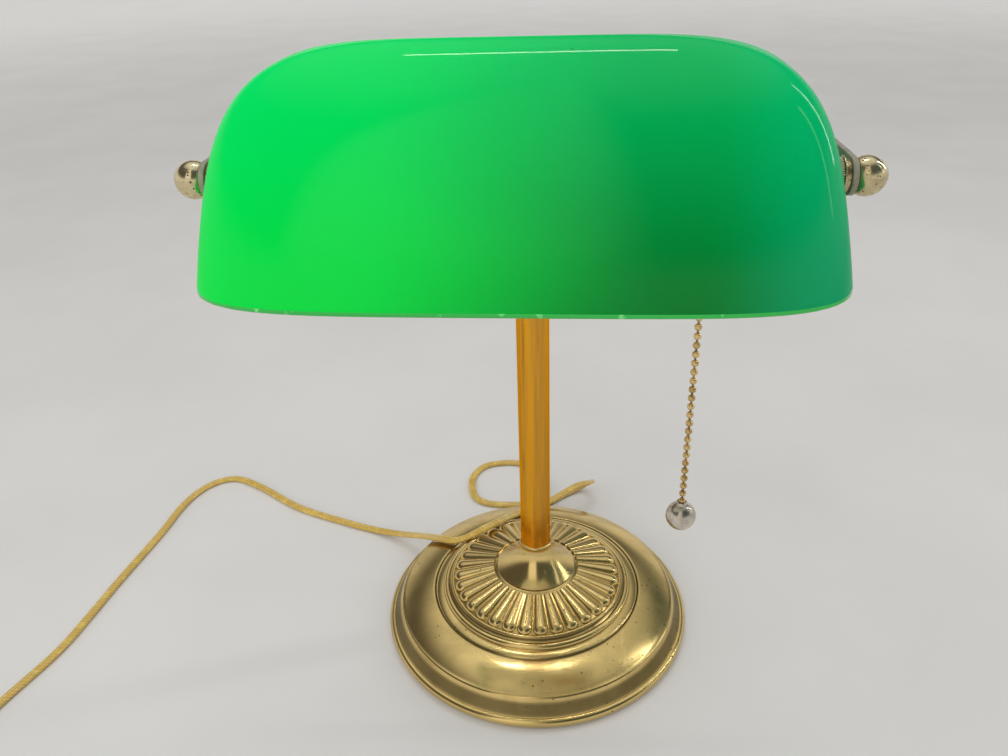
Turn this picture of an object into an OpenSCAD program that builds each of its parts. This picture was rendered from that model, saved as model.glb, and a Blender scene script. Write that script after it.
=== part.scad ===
// Bankers lamp: a weighted round base, a plain stem, a strip yoke behind a green glass shade that
// tilts between two ball finials, a pull chain socket with its bulb, and a flat twin cord.
// Millimetres, +Z up, +X along the shade. The origin is on the table under the stem's axis.

/* [Base] */
// Outer radius of the base
base_r = 90; // [84:1:100]
// Height of the top of the rolled rim
rim_h = 6; // [5:0.5:7]
// How far inside the rim the outer slope turns into the flat band
edge_in = 8; // [7:0.5:10]
// Height of that edge
edge_z = 15.6; // [14.5:0.2:17]
// Radius of the groove between the two bands
groove_r = 61; // [59:0.5:64]
// Height of the groove
groove_z = 21.6; // [20.6:0.2:22.4]
// Outer radius of the fluted field
flute_out_r = 46.6; // [45:0.2:47]
// Height of the fluted field at its outer edge
flute_out_z = 29; // [28.4:0.2:29.6]
// Inner radius of the fluted field
flute_in_r = 24; // [22:0.5:26]
// Height of the fluted field at its inner edge
flute_in_z = 34.6; // [34:0.2:35.2]
// Number of flutes
flutes = 32; // [24:1:36]
// Sheet thickness of the stamped cover
cover_t = 1.2; // [0.9:0.1:1.5]
// Thickness of the felt pad
felt_t = 2; // [1.5:0.25:3]
// How far the felt's edge stays inside the rim
felt_in = 4; // [4:0.5:8]
// Height of the hole for the supply cord
cord_hole_z = 10; // [9.4:0.2:10.6]
// Radius of the hole for the supply cord
cord_hole_r = 3.8; // [3.5:0.1:4]

/* [Stem] */
// Outer radius of the stem tube
stem_r = 8.5; // [7.5:0.1:9]
// Wall of the stem tube
stem_wall = 0.8; // [0.6:0.1:1.2]
// Height of the stem tube's top end
stem_top_z = 280; // [270:1:284]
// Height of the lead hole in the stem
lead_hole_z = 238; // [230:1:244]
// Height of the trumpet skirt on the base
skirt_h = 18; // [16:0.5:20]
// Outer radius of the trumpet skirt where it meets the base
skirt_r = 23; // [21:0.5:23.5]
// Outer radius of the threaded lamp pipe and of the nipples
pipe_r = 4.8; // [4.6:0.1:5]
// Bore radius of the threaded lamp pipe and of the nipple
pipe_bore_r = 3.3; // [3:0.1:3.6]

/* [Shade] */
// Height of the shade's pivot axis
pivot_z = 294; // [290:1:298]
// Distance of the pivot axis in front of the stem's axis
pivot_back = 77; // [77:1:82]
// Half the length of the shade at its rim
shade_half_l = 117.2; // [116:0.2:117.4]
// Half the depth of the shade at its rim
shade_half_d = 61; // [56:0.5:61.5]
// Height of the shade from rim to crown
shade_h = 78.3; // [74:0.5:82]
// Height of the pivot above the rim
pivot_over_rim = 29; // [26:0.5:31]
// Glass thickness
glass_t = 3; // [2.4:0.1:3.4]
// Largest tilt that brings the front of the shade down, in degrees
tilt_down = 30; // [20:1:30]

/* [Yoke and finials] */
// Height of the yoke strip
yoke_h = 14; // [12:0.5:15]
// Thickness of the yoke strip
yoke_t = 2.2; // [1.8:0.1:2.4]
// Radius of the finial balls
ball_r = 7.4; // [7:0.1:8]
// Length of the plain neck between the knurled nut and the yoke
neck_l = 2.8; // [2.4:0.1:3.2]
// Thickness of the knurled nut
knurl_l = 2.05; // [1.8:0.05:2.4]
// Number of teeth on the knurled nut
knurl_n = 30; // [24:1:40]

/* [Socket and chain] */
// Outer radius of the socket shell
socket_r = 16.8; // [16:0.1:17.4]
// How far the pull chain is inside the right end of the shade's rim
chain_in = 46.7; // [46.2:0.1:48]
// Radius of a bead of the pull chain
bead_r = 1.6; // [1.5:0.05:1.7]
// Distance between beads
bead_pitch = 4.16; // [4.1:0.02:4.3]
// Number of beads under the top bead
beads = 29; // [20:1:30]
// Radius of the ball on the end of the pull chain
pull_ball_r = 6.8; // [6:0.1:7.5]
// Travel of the pull chain
pull_travel = 6.3; // [5:0.1:6.3]
// Greatest radius of the bulb
bulb_r = 24; // [22:0.5:26]
// Distance from the middle of the bulb's round end to its seat in the socket
bulb_l = 65; // [63:0.5:66]

/* [Cord] */
// Width of the flat twin cord
cord_w = 5.2; // [4.6:0.1:5.6]
// Thickness of the flat twin cord
cord_t = 2.6; // [2.2:0.1:2.8]
// Radius of the coil at the middle of its turns
coil_r = 27; // [26:0.5:30]
// Number of turns in the coil
coil_turns = 5.5; // [5.5:1:7.5]
// Distance between neighbouring turns
turn_pitch = 5.9; // [5.9:0.1:6.4]

/* [Hidden] */
$fn = 64;
fit = 0.05;
pivot_y = -pivot_back;
pivot = [0, pivot_y, pivot_z];

// Places along the base and stem
bead_rim_r = 2.6;
bead_c = [base_r - bead_rim_r, rim_h - bead_rim_r];
edge_r = base_r - edge_in;
felt_r = base_r - felt_in;
cover_foot_z = 0.8;
seat_z = flute_in_z + 0.4;
hub_z = seat_z - cover_t;
step_z = groove_z + 1.9;
slope_z = edge_z - 2.2;
recess_z = 14;
recess_r = 16;
washer_t = 1.2;
nut_t = 4;
pipe_low_z = recess_z - washer_t - nut_t - 1;
skirt_top_z = seat_z + skirt_h;
pipe_top_z = skirt_top_z + 16;
base_nut_r = pipe_r + 3.6;
sleeve_t = 1.8;
lead_hole_r = 3.4;
lead_flange_r = lead_hole_r + 1.2;
slot_w = 8;
slot_top_z = cord_hole_z + 3;

// Places along the shade's axis, on its right side
rim_z = pivot_z - pivot_over_rim;
pad_r = 7;
pad_t = 4.5;
pad_out_x = shade_half_l - 4.7;
pad_in_x = pad_out_x - pad_t;
grommet_r = pipe_r + 0.8;
nut_r = pipe_r + 3.2;
knurl_r = pipe_r + 2;
knurl_deep = 0.5;
neck_r = pipe_r + 1.1;
neck_flange_r = pipe_r + 2.1;
flange_l = 1;
washer_l = 1;
nut_l = 3.5;
knurl_x = pad_out_x + washer_l + fit;
neck_x = knurl_x + knurl_l;
eye_x = neck_x + neck_l;
ball_x = eye_x + yoke_t + fit;
ball_sunk = 0.575 * ball_r;
ball_c_x = ball_x + ball_sunk;
nipple_end_x = ball_c_x + 2.4;
bore_end_x = nipple_end_x + 0.6;
nut_x = pad_in_x - flange_l - fit - nut_l;

// Places along the socket
chain_x = shade_half_l - chain_in;
cap_lip_x = chain_x + 7.5;
cap_lip_l = 6;
cap_dome_l = 16;
cap_dome_x = cap_lip_x + cap_lip_l;
cap_end_x = cap_dome_x + cap_dome_l;
cap_screw_x = cap_end_x - 2.6;
cap_neck_r = pipe_r + 1.6;
cap_wall = 0.8;
cap_screw_r = 1.1;
shell_l = 43;
shell_lap = 3;
shell_x = [cap_lip_x + shell_lap - shell_l, cap_lip_x + shell_lap];
shell_t = 0.6;
liner_in = 4;
liner_x = [shell_x[0] + liner_in, shell_x[1] - liner_in / 2];
liner_t = 0.5;
body_x = [chain_x - 10.5, chain_x + 6.5];
shell_r = socket_r - cap_wall;
body_r = shell_r - shell_t - liner_t;
terminal_z = 9;
terminal_r = 1.4;
contact_r = 1.5;
axle_r = 1.2;
cam_y = pivot_y + 5;
cam_r = 4;
cam_x = [chain_x - 1.5, chain_x + 1.5];
guide_low_z = pivot_z - 25;
guide_r = 3.6;
lead_in_x = cap_lip_x + 5.6;
lead_r = 1.6;
link_r = 0.9;
link_low_z = guide_low_z - 1.2;
top_bead_z = link_low_z - fit - bead_r;
chain_top_z = top_bead_z - bead_r - fit;
core_r = 0.45;
first_bead_z = top_bead_z - bead_pitch;
last_bead_z = first_bead_z - (beads - 1) * bead_pitch;
ball_z = last_bead_z - bead_r - pull_ball_r;
bulb_c_x = body_x[0] - bulb_l;
bulb_neck_r = 12.6;
bulb_cap_r = 13.1;
bulb_cap_x = [body_x[0] - 26, body_x[0] - 6];
screw_x = [body_x[0] - 20, body_x[0]];

// Places along the yoke
xe = eye_x + yoke_t / 2;
yoke_lean = 2;
corner_r = 30;
head_flat_y = 6;
bar_y = head_flat_y + yoke_t / 2;
head_r = 8.2;
screw_r = 2.1;

// The free cord's route, chosen by hand. Its flat side turns over at the fold.
relief_end_y = base_r + 16;
relief_start_y = base_r - 10;
fold_i = 16;
coil_lift = 2;
layer_h = 3.3;
coil_band = coil_turns * turn_pitch / 2;
coil_out_r = coil_r + coil_band / 2;
coil_c = [-336, -134];
coil_start = [coil_c.x + coil_out_r, coil_c.y + cord_w, coil_lift];
coil_end = [coil_c.x - coil_out_r, coil_c.y + cord_w, coil_lift + layer_h];
cord_route = [
    [0, relief_end_y, cord_hole_z], [0, 116, 8], [-2, 130, 3], [-9, 143, 1.5], [-20, 150, 1.5],
    [-34, 150, 1.5], [-46, 145, 1.5], [-53, 133, 1.5], [-53, 118, 1.5], [-48, 105, 1.5],
    [-36, 99, 1.5], [-17, 99, 1.5], [2, 101, 1.5], [13, 110, 1.5], [24, 118, 2.5],
    [32, 118, 7.5], [35, 112, 14], [32, 104, 18.5], [24, 98, 20], [6, 81, 19.6],
    [-14, 61, 24.6], [-31, 37, 33.2], [-46, 31.5, 27.2], [-55, 31, 24.8], [-65, 37, 21.4],
    [-80, 48, 13.5], [-96, 58, 6], [-114, 66, 2], [-135, 73, 1.5], [-176, 89, 1.5],
    [-212, 112, 1.5], [-236, 122, 1.5], [-253, 113, 1.5], [-263, 91, 1.5], [-267, 55, 1.5],
    [-274, 10, 1.5], [-278, -22, 1.5], [-283, -52, 1.5], [-296, -90, 1.5], [-301, -112, 1.8],
    coil_start
];

// The lead inside the lamp, from the base to the socket
lead_route = [
    [0, relief_start_y, cord_hole_z], [0, 66, 8], [0, 40, 6], [0, 14, 4.6], [0, 6, 4.8],
    [0, 1.4, 7.4], [0, 0, 13], [0, 0, 40], [0, 0, 120], [0, 0, lead_hole_z - 12],
    [0, -0.8, lead_hole_z - 5], [0, -3.6, lead_hole_z - 0.8], [0, -8, lead_hole_z],
    [0.5, -14, lead_hole_z + 0.4], [5, -24, 240], [13, -37, 243], [25, -47, 248],
    [44, -50, 259], [64, -50, 273], [79, -51, 286], [lead_in_x, pivot_y + 22, pivot_z - 0.6],
    [lead_in_x, pivot_y + 17, pivot_z], [lead_in_x, pivot_y + 9, pivot_z]
];

// Points on an arc from angle a to angle b
function arc(c, r, a, b, n) = [for (i = [0:n]) let (t = a + (b - a) * i / n) c + r * [cos(t), sin(t)]];

// Points on a shallow bow from p to q that rises by h in its middle
function bow(p, q, h, n) = [for (i = [0:n]) let (t = i / n) p + (q - p) * t + [0, 4 * h * t * (1 - t)]];

function unit(v) = v / norm(v);
function flip(v) = [for (i = [len(v) - 1:-1:0]) v[i]];

// Catmull-Rom curve through points p, with n steps between neighbours
function knot(p, i) = i < 0 ? 2 * p[0] - p[1]
    : i >= len(p) ? 2 * p[len(p) - 1] - p[len(p) - 2] : p[i];
function between(a, b, c, d, t) =
    0.5 * (2 * b + (c - a) * t + (2 * a - 5 * b + 4 * c - d) * t * t + (3 * b - a - 3 * c + d) * t * t * t);
function curve(p, n) = concat(
    [for (i = [0:len(p) - 2], k = [0:n - 1]) between(knot(p, i - 1), p[i], p[i + 1], knot(p, i + 2), k / n)],
    [p[len(p) - 1]]
);
function tangent(c, i) = unit(c[min(i + 1, len(c) - 1)] - c[max(i - 1, 0)]);

// One ring of a tube: an oval of half width a and half height b, its flat side facing up
function ring(c, t, up, a, b, n) =
    let (side = unit(cross(t, up)), top = cross(side, t))
    [for (k = [0:n - 1]) let (q = 360 * (k + 0.5) / n) c + a * cos(q) * side + b * sin(q) * top];

// Closed skin over rings of n points each
function skin_faces(m, n) = concat(
    [[for (k = [0:n - 1]) k]],
    [for (i = [0:m - 2], k = [0:n - 1]) [i * n + k, (i + 1) * n + k, i * n + (k + 1) % n]],
    [for (i = [0:m - 2], k = [0:n - 1])
        [i * n + (k + 1) % n, (i + 1) * n + k, (i + 1) * n + (k + 1) % n]],
    [[for (k = [n - 1:-1:0]) (m - 1) * n + k]]
);

// A tube swept along the points of c, with a flat side that faces ups[i] at point i
module tube(c, ups, a, b, n) {
    pts = [for (i = [0:len(c) - 1]) each ring(c[i], tangent(c, i), ups[i], a, b, n)];
    polyhedron(pts, skin_faces(len(c), n), convexity = 10);
}

// A solid turned about the shade's axis: profile points are [distance along +X, radius]
module turned_x(profile) {
    translate(pivot) rotate([0, 90, 0]) rotate_extrude()
        polygon([for (p = profile) [p.y, p.x]]);
}

module rod_x(x0, x1, r) {
    translate([x0, pivot_y, pivot_z]) rotate([0, 90, 0]) cylinder(h = x1 - x0, r = r);
}

module both_ends() {
    children();
    mirror([1, 0, 0]) children();
}

// A washer or nut on the shade's axis
module ring_x(x0, x1, r, bore) {
    difference() {
        rod_x(x0, x1, r);
        rod_x(x0 - 1, x1 + 1, bore);
    }
}

// Base

module felt_pad() {
    color("darkolivegreen") cylinder(h = felt_t, r = felt_r);
}

module base_weight() {
    rim_r = felt_r - 8;
    color("dimgray") difference() {
        rotate_extrude() polygon([
            [pipe_r, recess_z], [recess_r, recess_z], [recess_r, felt_t], [rim_r, felt_t],
            [rim_r, edge_z - 3], [groove_r - 1, groove_z - 3.4], [flute_out_r + 2, groove_z - 0.6],
            [flute_out_r - 3, flute_out_z - 5], [flute_in_r - 2, hub_z - 1.2], [flute_in_r - 4, hub_z],
            [pipe_r, hub_z]
        ]);
        translate([-slot_w / 2, recess_r - 4, 0]) cube([slot_w, felt_r, slot_top_z]);
    }
}

// Underside of the stamped sheet, from the pipe outwards
cover_under = [
    [pipe_r, hub_z], [flute_in_r - 1, hub_z], [flute_out_r - 0.6, flute_out_z - cover_t - 0.3],
    [flute_out_r + 3.6, step_z - cover_t], [groove_r - 1, groove_z - cover_t - 0.8],
    [edge_r - 2, edge_z - cover_t - 0.5], [edge_r + 0.2, slope_z - 0.8],
    [bead_c.x + 0.2, bead_c.y + 1.2], [bead_c.x - 0.6, cover_foot_z]
];

// Top side of the stamped sheet, from the rim inwards
cover_top = concat(
    arc(bead_c, bead_rim_r, -75, 55, 10),
    [[edge_r + 1.2, slope_z]],
    arc([edge_r - 1.6, edge_z - 1.8], 1.8, 25, 80, 4),
    bow([edge_r - 1.4, edge_z], [groove_r + 0.8, groove_z], 0.9, 8),
    [[groove_r, groove_z - 0.7]],
    bow([groove_r - 0.7, groove_z + 0.1], [flute_out_r + 9.7, step_z - 0.8], 0.2, 4),
    arc([flute_out_r + 7.3, step_z - 0.1], 2.2, -10, 130, 8),
    arc([flute_out_r + 3.6, flute_out_z - 2.4], 1.5, -40, 150, 8),
    [[flute_out_r, flute_out_z - 0.4], [flute_in_r, flute_in_z], [flute_in_r - 0.5, seat_z]]
);

flute_a = [flute_in_r + 1, flute_in_z - 1.7];
flute_b = [flute_out_r + 3, flute_out_z - 3.6];
flute_len = norm(flute_b - flute_a);
flute_tilt = atan2(flute_a.y - flute_b.y, flute_b.x - flute_a.x);
flute_small_r = 0.96 * PI * flute_in_r / flutes;
flute_big_r = 0.96 * PI * flute_out_r / flutes;

// One flute: a lobe that widens outwards and ends in a round nose
module flute() {
    translate([flute_a.x, 0, flute_a.y]) rotate([0, 90 + flute_tilt, 0]) {
        cylinder(h = flute_len - flute_big_r, r1 = flute_small_r, r2 = flute_big_r);
        translate([0, 0, flute_len - flute_big_r]) sphere(flute_big_r);
    }
}

module base_cover() {
    color("darkgoldenrod") difference() {
        union() {
            rotate_extrude() polygon(concat(
                [[0, cover_foot_z], [bead_c.x - 0.6, cover_foot_z]], cover_top, [[0, seat_z]]
            ));
            for (i = [0:flutes - 1]) rotate([0, 0, 360 * (i + 0.5) / flutes]) flute();
        }
        rotate_extrude() polygon(concat([[0, 0], [0, hub_z]], cover_under, [[bead_c.x - 0.6, 0]]));
        cylinder(h = seat_z + 1, r = pipe_r);
        translate([0, relief_start_y - 2, cord_hole_z]) rotate([-90, 0, 0])
            cylinder(h = base_r, r = cord_hole_r);
    }
}

module base_washer() {
    color("silver") translate([0, 0, recess_z - washer_t]) difference() {
        cylinder(h = washer_t, r = recess_r - 4);
        translate([0, 0, -1]) cylinder(h = washer_t + 2, r = pipe_r);
    }
}

module base_nut() {
    color("silver") translate([0, 0, recess_z - washer_t - nut_t]) difference() {
        cylinder(h = nut_t, r = base_nut_r, $fn = 6);
        translate([0, 0, -1]) cylinder(h = nut_t + 2, r = pipe_r);
    }
}

module lamp_pipe() {
    color("silver") translate([0, 0, pipe_low_z]) difference() {
        cylinder(h = pipe_top_z - pipe_low_z, r = pipe_r);
        translate([0, 0, -1]) cylinder(h = pipe_top_z, r = pipe_bore_r);
    }
}

// Stem

skirt_neck_r = stem_r + 0.7;
function skirt_at(s) = skirt_neck_r + (skirt_r - skirt_neck_r) * pow(1 - s, 1.4);

module stem_skirt() {
    wall = 1.5;
    outside = [for (i = [0:12]) [skirt_at(i / 12), seat_z + 1 + (skirt_h - 1) * i / 12]];
    inside = [for (i = [0:10]) [skirt_at(i / 12) - wall, seat_z + (skirt_h - 3) * i / 10]];
    color("darkgoldenrod") rotate_extrude() polygon(concat(
        [[skirt_r, seat_z]], outside, [[pipe_r, skirt_top_z], [pipe_r, skirt_top_z - 2]], flip(inside)
    ));
}

module stem_collar() {
    color("goldenrod") translate([0, 0, skirt_top_z]) rotate_extrude() polygon(concat(
        [[stem_r, 0]], arc([stem_r + 0.1, 0.9], 0.8, -70, 70, 6), [[stem_r, 1.8]]
    ));
}

module stem_bushing() {
    color("silver") translate([0, 0, skirt_top_z]) difference() {
        cylinder(h = pipe_top_z - skirt_top_z - 3, r = stem_r - stem_wall);
        translate([0, 0, -1]) cylinder(h = pipe_top_z, r = pipe_r);
    }
}

module lead_hole(r) {
    translate([0, 0, lead_hole_z]) rotate([90, 0, 0]) cylinder(h = 2 * stem_r, r = r);
}

module stem_tube() {
    color("goldenrod") difference() {
        translate([0, 0, skirt_top_z]) cylinder(h = stem_top_z - skirt_top_z, r = stem_r);
        cylinder(h = stem_top_z + 1, r = stem_r - stem_wall);
        lead_hole(lead_hole_r);
    }
}

module stem_head() {
    low_z = stem_top_z - 4;
    top_z = pivot_z + 9;
    color("goldenrod") difference() {
        rotate_extrude() polygon(concat(
            [[stem_r, low_z], [stem_r + sleeve_t, low_z + 0.4], [stem_r + sleeve_t, stem_top_z + 1]],
            [[head_r, stem_top_z + 2.4], [head_r, top_z]],
            arc([0, top_z], head_r, 12, 90, 8),
            [[0, stem_top_z], [stem_r, stem_top_z]]
        ));
        translate([-2 * head_r, head_flat_y, stem_top_z + 2]) cube([4 * head_r, head_r, 4 * head_r]);
        translate([0, -1, pivot_z]) rotate([-90, 0, 0]) cylinder(h = 2 * head_r, r = screw_r);
    }
}

module lead_bushing() {
    color("black") difference() {
        union() {
            difference() {
                translate([0, -stem_r + 1.5, lead_hole_z]) rotate([90, 0, 0])
                    cylinder(h = 2.9, r = lead_flange_r);
                translate([0, 0, lead_hole_z - stem_r]) cylinder(h = 2 * stem_r, r = stem_r);
            }
            translate([0, -stem_r + stem_wall + 0.8, lead_hole_z]) rotate([90, 0, 0])
                cylinder(h = stem_wall + 1.6, r = lead_hole_r);
        }
        lead_hole(lead_r + 0.1);
    }
}

// Yoke

function yoke_half(dt) = concat(
    [[xe + dt, pivot_y], [xe + dt, pivot_y + 8], [xe - yoke_lean + dt, bar_y - corner_r]],
    arc([xe - yoke_lean - corner_r, bar_y - corner_r], corner_r + dt, 6, 90, 12)
);
function mirrored(v) = [for (p = flip(v)) [-p.x, p.y]];

module yoke() {
    outer = yoke_half(yoke_t / 2);
    inner = yoke_half(-yoke_t / 2);
    color("rosybrown") difference() {
        union() {
            translate([0, 0, pivot_z - yoke_h / 2]) linear_extrude(yoke_h)
                polygon(concat(outer, mirrored(outer), flip(mirrored(inner)), flip(inner)));
            both_ends() rod_x(eye_x, eye_x + yoke_t, yoke_h / 2);
        }
        both_ends() rod_x(eye_x - 1, eye_x + yoke_t + 1, pipe_r);
        translate([0, 0, pivot_z]) rotate([-90, 0, 0]) cylinder(h = 4 * head_r, r = screw_r);
    }
}

module yoke_screw() {
    color("goldenrod") translate([0, head_flat_y + yoke_t, pivot_z]) rotate([-90, 0, 0]) difference() {
        rotate_extrude() polygon(concat(
            [[0, -yoke_t - 6], [screw_r, -yoke_t - 5.5], [screw_r, 0], [4.6, 0], [4.6, 0.9]],
            arc([0, -1.9], 5.4, 32, 90, 5)
        ));
        translate([-5, -0.5, 2.4]) cube([10, 1, 3]);
    }
}

// Shade axis hardware

module right_nipple() {
    color("silver") ring_x(cap_end_x - 7, nipple_end_x, pipe_r, pipe_bore_r);
}

module left_stud() {
    color("silver") rod_x(-nipple_end_x, -nut_x + 2, pipe_r);
}

module inner_nuts() {
    color("silver") both_ends() difference() {
        translate([nut_x, pivot_y, pivot_z]) rotate([0, 90, 0]) cylinder(h = nut_l, r = nut_r, $fn = 6);
        rod_x(nut_x - 1, nut_x + nut_l + 1, pipe_r);
    }
}

module knurled_nuts() {
    teeth = [for (i = [0:2 * knurl_n - 1]) let (t = 180 * i / knurl_n)
        (i % 2 == 0 ? knurl_r : knurl_r - knurl_deep) * [cos(t), sin(t)]];
    color("darkgoldenrod") both_ends() difference() {
        translate([knurl_x, pivot_y, pivot_z]) rotate([0, 90, 0]) linear_extrude(knurl_l) polygon(teeth);
        rod_x(knurl_x - 1, knurl_x + knurl_l + 1, pipe_r);
    }
}

module neck_spacers() {
    flange = 0.8;
    color("goldenrod") both_ends() turned_x(concat(
        [[neck_x, pipe_r], [neck_x, neck_flange_r]],
        arc([neck_x + flange / 2, neck_flange_r], flange / 2, 180, 0, 6),
        [[neck_x + flange, neck_r], [eye_x - 0.4, neck_r], [eye_x, neck_r - 0.3], [eye_x, pipe_r]]
    ));
}

module seat_washers() {
    color("gold") both_ends() ring_x(pad_out_x, pad_out_x + washer_l, pad_r, pipe_r + fit);
}

module grommets() {
    color("black") both_ends() difference() {
        union() {
            rod_x(pad_in_x - flange_l, pad_in_x, pad_r);
            rod_x(pad_in_x - flange_l, pad_out_x, grommet_r);
        }
        rod_x(pad_in_x - 3, pad_out_x + 1, pipe_r + fit);
    }
}

module ball_finial() {
    low = asin(ball_sunk / ball_r);
    difference() {
        turned_x(concat(
            [[ball_x, 0], [ball_x, ball_r * cos(low)]],
            arc([ball_c_x, 0], ball_r, 90 + low, 0, 18)
        ));
        rod_x(ball_x - 1, bore_end_x, pipe_r + fit);
    }
}

module right_finial() {
    color("goldenrod") ball_finial();
}

module left_finial() {
    color("goldenrod") mirror([1, 0, 0]) ball_finial();
}

// Glass shade

shade_taper_l = 14.1;
shade_taper_d = 9.3;
shade_rings = 14;
shade_sides = 56;

// Half length and half depth of the shade at share v of its height, drawn in by the wall w
function shade_a(v, w) = (shade_half_l - w - shade_taper_l * v) * pow(1 - pow(v, 5), 0.2);
function shade_b(v, w) = (shade_half_d - w - shade_taper_d * v) * pow(1 - pow(v, 1.65), 1 / 1.65);
function power_of(c, e) = sign(c) * pow(abs(c), e);
function shade_ring(v, w, z) = [for (k = [0:shade_sides - 1])
    let (t = 360 * k / shade_sides)
    [shade_a(v, w) * power_of(cos(t), 0.4), pivot_y + shade_b(v, w) * power_of(sin(t), 0.4), z]];
function shade_share(i) = pow(sin(86 * i / shade_rings), 1.2);

// The solid inside a shade surface that is drawn in by the wall w
module shade_form(w, low) {
    h = shade_h - w;
    pts = concat(
        shade_ring(0, w, rim_z - low),
        [for (i = [low > 0 ? 0 : 1:shade_rings]) let (v = shade_share(i))
            each shade_ring(v, w, rim_z + h * v)],
        [[0, pivot_y, rim_z + h]]
    );
    m = (len(pts) - 1) / shade_sides;
    n = shade_sides;
    faces = concat(
        [[for (k = [0:n - 1]) k]],
        [for (i = [0:m - 2], k = [0:n - 1]) [i * n + k, (i + 1) * n + k, i * n + (k + 1) % n]],
        [for (i = [0:m - 2], k = [0:n - 1])
            [i * n + (k + 1) % n, (i + 1) * n + k, (i + 1) * n + (k + 1) % n]],
        [for (k = [0:n - 1]) [(m - 1) * n + k, m * n, (m - 1) * n + (k + 1) % n]]
    );
    polyhedron(pts, faces, convexity = 4);
}

module glass_shade() {
    seat_r = pad_r + 0.3;
    color("limegreen") difference() {
        union() {
            difference() {
                shade_form(0, 0);
                shade_form(glass_t, 2);
            }
            both_ends() rod_x(pad_in_x, pad_out_x, seat_r);
        }
        both_ends() rod_x(pad_in_x - pad_t, pad_in_x, nut_r + 0.6);
        both_ends() rod_x(pad_out_x, pad_out_x + 3, seat_r);
        both_ends() rod_x(pad_in_x - pad_t, pad_out_x + 3, grommet_r);
    }
}

// Socket

module socket_cap() {
    dome_r = socket_r - cap_neck_r;
    color("goldenrod") difference() {
        turned_x(concat(
            [[cap_lip_x, shell_r], [cap_lip_x, socket_r], [cap_dome_x, socket_r]],
            arc([cap_dome_x, cap_neck_r], dome_r, 80, 0, 8),
            [[cap_end_x, cap_neck_r], [cap_end_x, pipe_r], [cap_end_x - 8, pipe_r]],
            [[cap_end_x - 8, cap_neck_r - 0.6]],
            arc([cap_dome_x, cap_neck_r], dome_r - cap_wall, 0, 90, 8)
        ));
        translate([lead_in_x, pivot_y, pivot_z]) rotate([-90, 0, 0])
            cylinder(h = 2 * socket_r, r = lead_r + 0.3);
        translate([cap_screw_x, pivot_y, pivot_z]) cylinder(h = 2 * cap_neck_r, r = cap_screw_r);
    }
}

module cap_screw() {
    color("silver") translate([cap_screw_x, pivot_y, pivot_z]) {
        translate([0, 0, pipe_r]) cylinder(h = cap_neck_r - pipe_r + 0.5, r = cap_screw_r);
        translate([0, 0, cap_neck_r]) difference() {
            cylinder(h = 1.6, r = 2);
            translate([-3, -0.3, 0.9]) cube([6, 0.6, 1]);
        }
    }
}

// Upright hole under the socket's axis, where the pull chain comes out
module chain_way(r) {
    translate([chain_x, pivot_y, pivot_z - 2 * socket_r]) cylinder(h = 2 * socket_r, r = r);
}

module socket_shell() {
    lip = 1;
    color("goldenrod") difference() {
        turned_x([
            [shell_x[0], shell_r + lip], [shell_x[0] + lip, shell_r + lip], [shell_x[0] + 2 * lip, shell_r],
            [shell_x[1], shell_r], [shell_x[1], shell_r - shell_t], [shell_x[0] + 2 * lip, shell_r - shell_t],
            [shell_x[0], shell_r + lip - shell_t]
        ]);
        chain_way(guide_r);
    }
}

module socket_liner() {
    color("burlywood") difference() {
        ring_x(liner_x[0], liner_x[1], shell_r - shell_t, body_r);
        chain_way(guide_r);
    }
}

module terminals(r, deep) {
    for (side = [-1, 1]) translate([body_x[1], pivot_y, pivot_z + side * terminal_z])
        rotate([0, -90, 0]) cylinder(h = deep, r = r);
}

module switch_body() {
    room_r = cam_r + 3.5;
    color("saddlebrown") difference() {
        rod_x(body_x[0], body_x[1], body_r);
        translate([cam_x[0] - 1, cam_y, pivot_z]) rotate([0, 90, 0])
            cylinder(h = cam_x[1] - cam_x[0] + 2, r = room_r);
        translate([cam_x[0] - 5, cam_y, pivot_z]) rotate([0, 90, 0])
            cylinder(h = cam_x[1] - cam_x[0] + 8, r = axle_r + fit);
        chain_way(guide_r - 0.8);
        rod_x(body_x[0] - 1, body_x[0] + 4, contact_r);
        terminals(terminal_r, 6);
    }
}

module terminal_screws() {
    color("gold") {
        terminals(terminal_r, 5.5);
        for (side = [-1, 1]) translate([body_x[1], pivot_y, pivot_z + side * terminal_z])
            rotate([0, 90, 0]) difference() {
                cylinder(h = 1.8, r = 2.8);
                translate([-0.4, -4, 1]) cube([0.8, 8, 1]);
            }
    }
}

// Radius along a rolled thread between x0 and x1
function rolled(x0, x1, r, depth) = [for (i = [0:24]) let (x = x0 + (x1 - x0) * i / 24)
    [x, r - depth * (0.5 + 0.5 * cos(360 * (x - bulb_cap_x[0]) / 3.6))]];

module screw_shell() {
    color("gold") turned_x(concat(
        rolled(screw_x[0], screw_x[1] - 4, bulb_cap_r + 0.6, 0.5),
        [[screw_x[1], bulb_cap_r + 0.5], [screw_x[1], bulb_cap_r + 0.1]],
        flip(rolled(screw_x[0], screw_x[1] - 4, bulb_cap_r + 0.2, 0.5))
    ));
}

module centre_contact() {
    color("gold") {
        rod_x(bulb_cap_x[1], body_x[0], 3);
        rod_x(body_x[0], body_x[0] + 4, contact_r);
    }
}

module switch_cam() {
    color("silver") translate([0, cam_y, pivot_z]) rotate([0, 90, 0]) {
        translate([0, 0, cam_x[0]]) cylinder(h = cam_x[1] - cam_x[0], r = cam_r);
        translate([0, 0, cam_x[0] - 4]) cylinder(h = cam_x[1] - cam_x[0] + 6, r = axle_r);
    }
}

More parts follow.
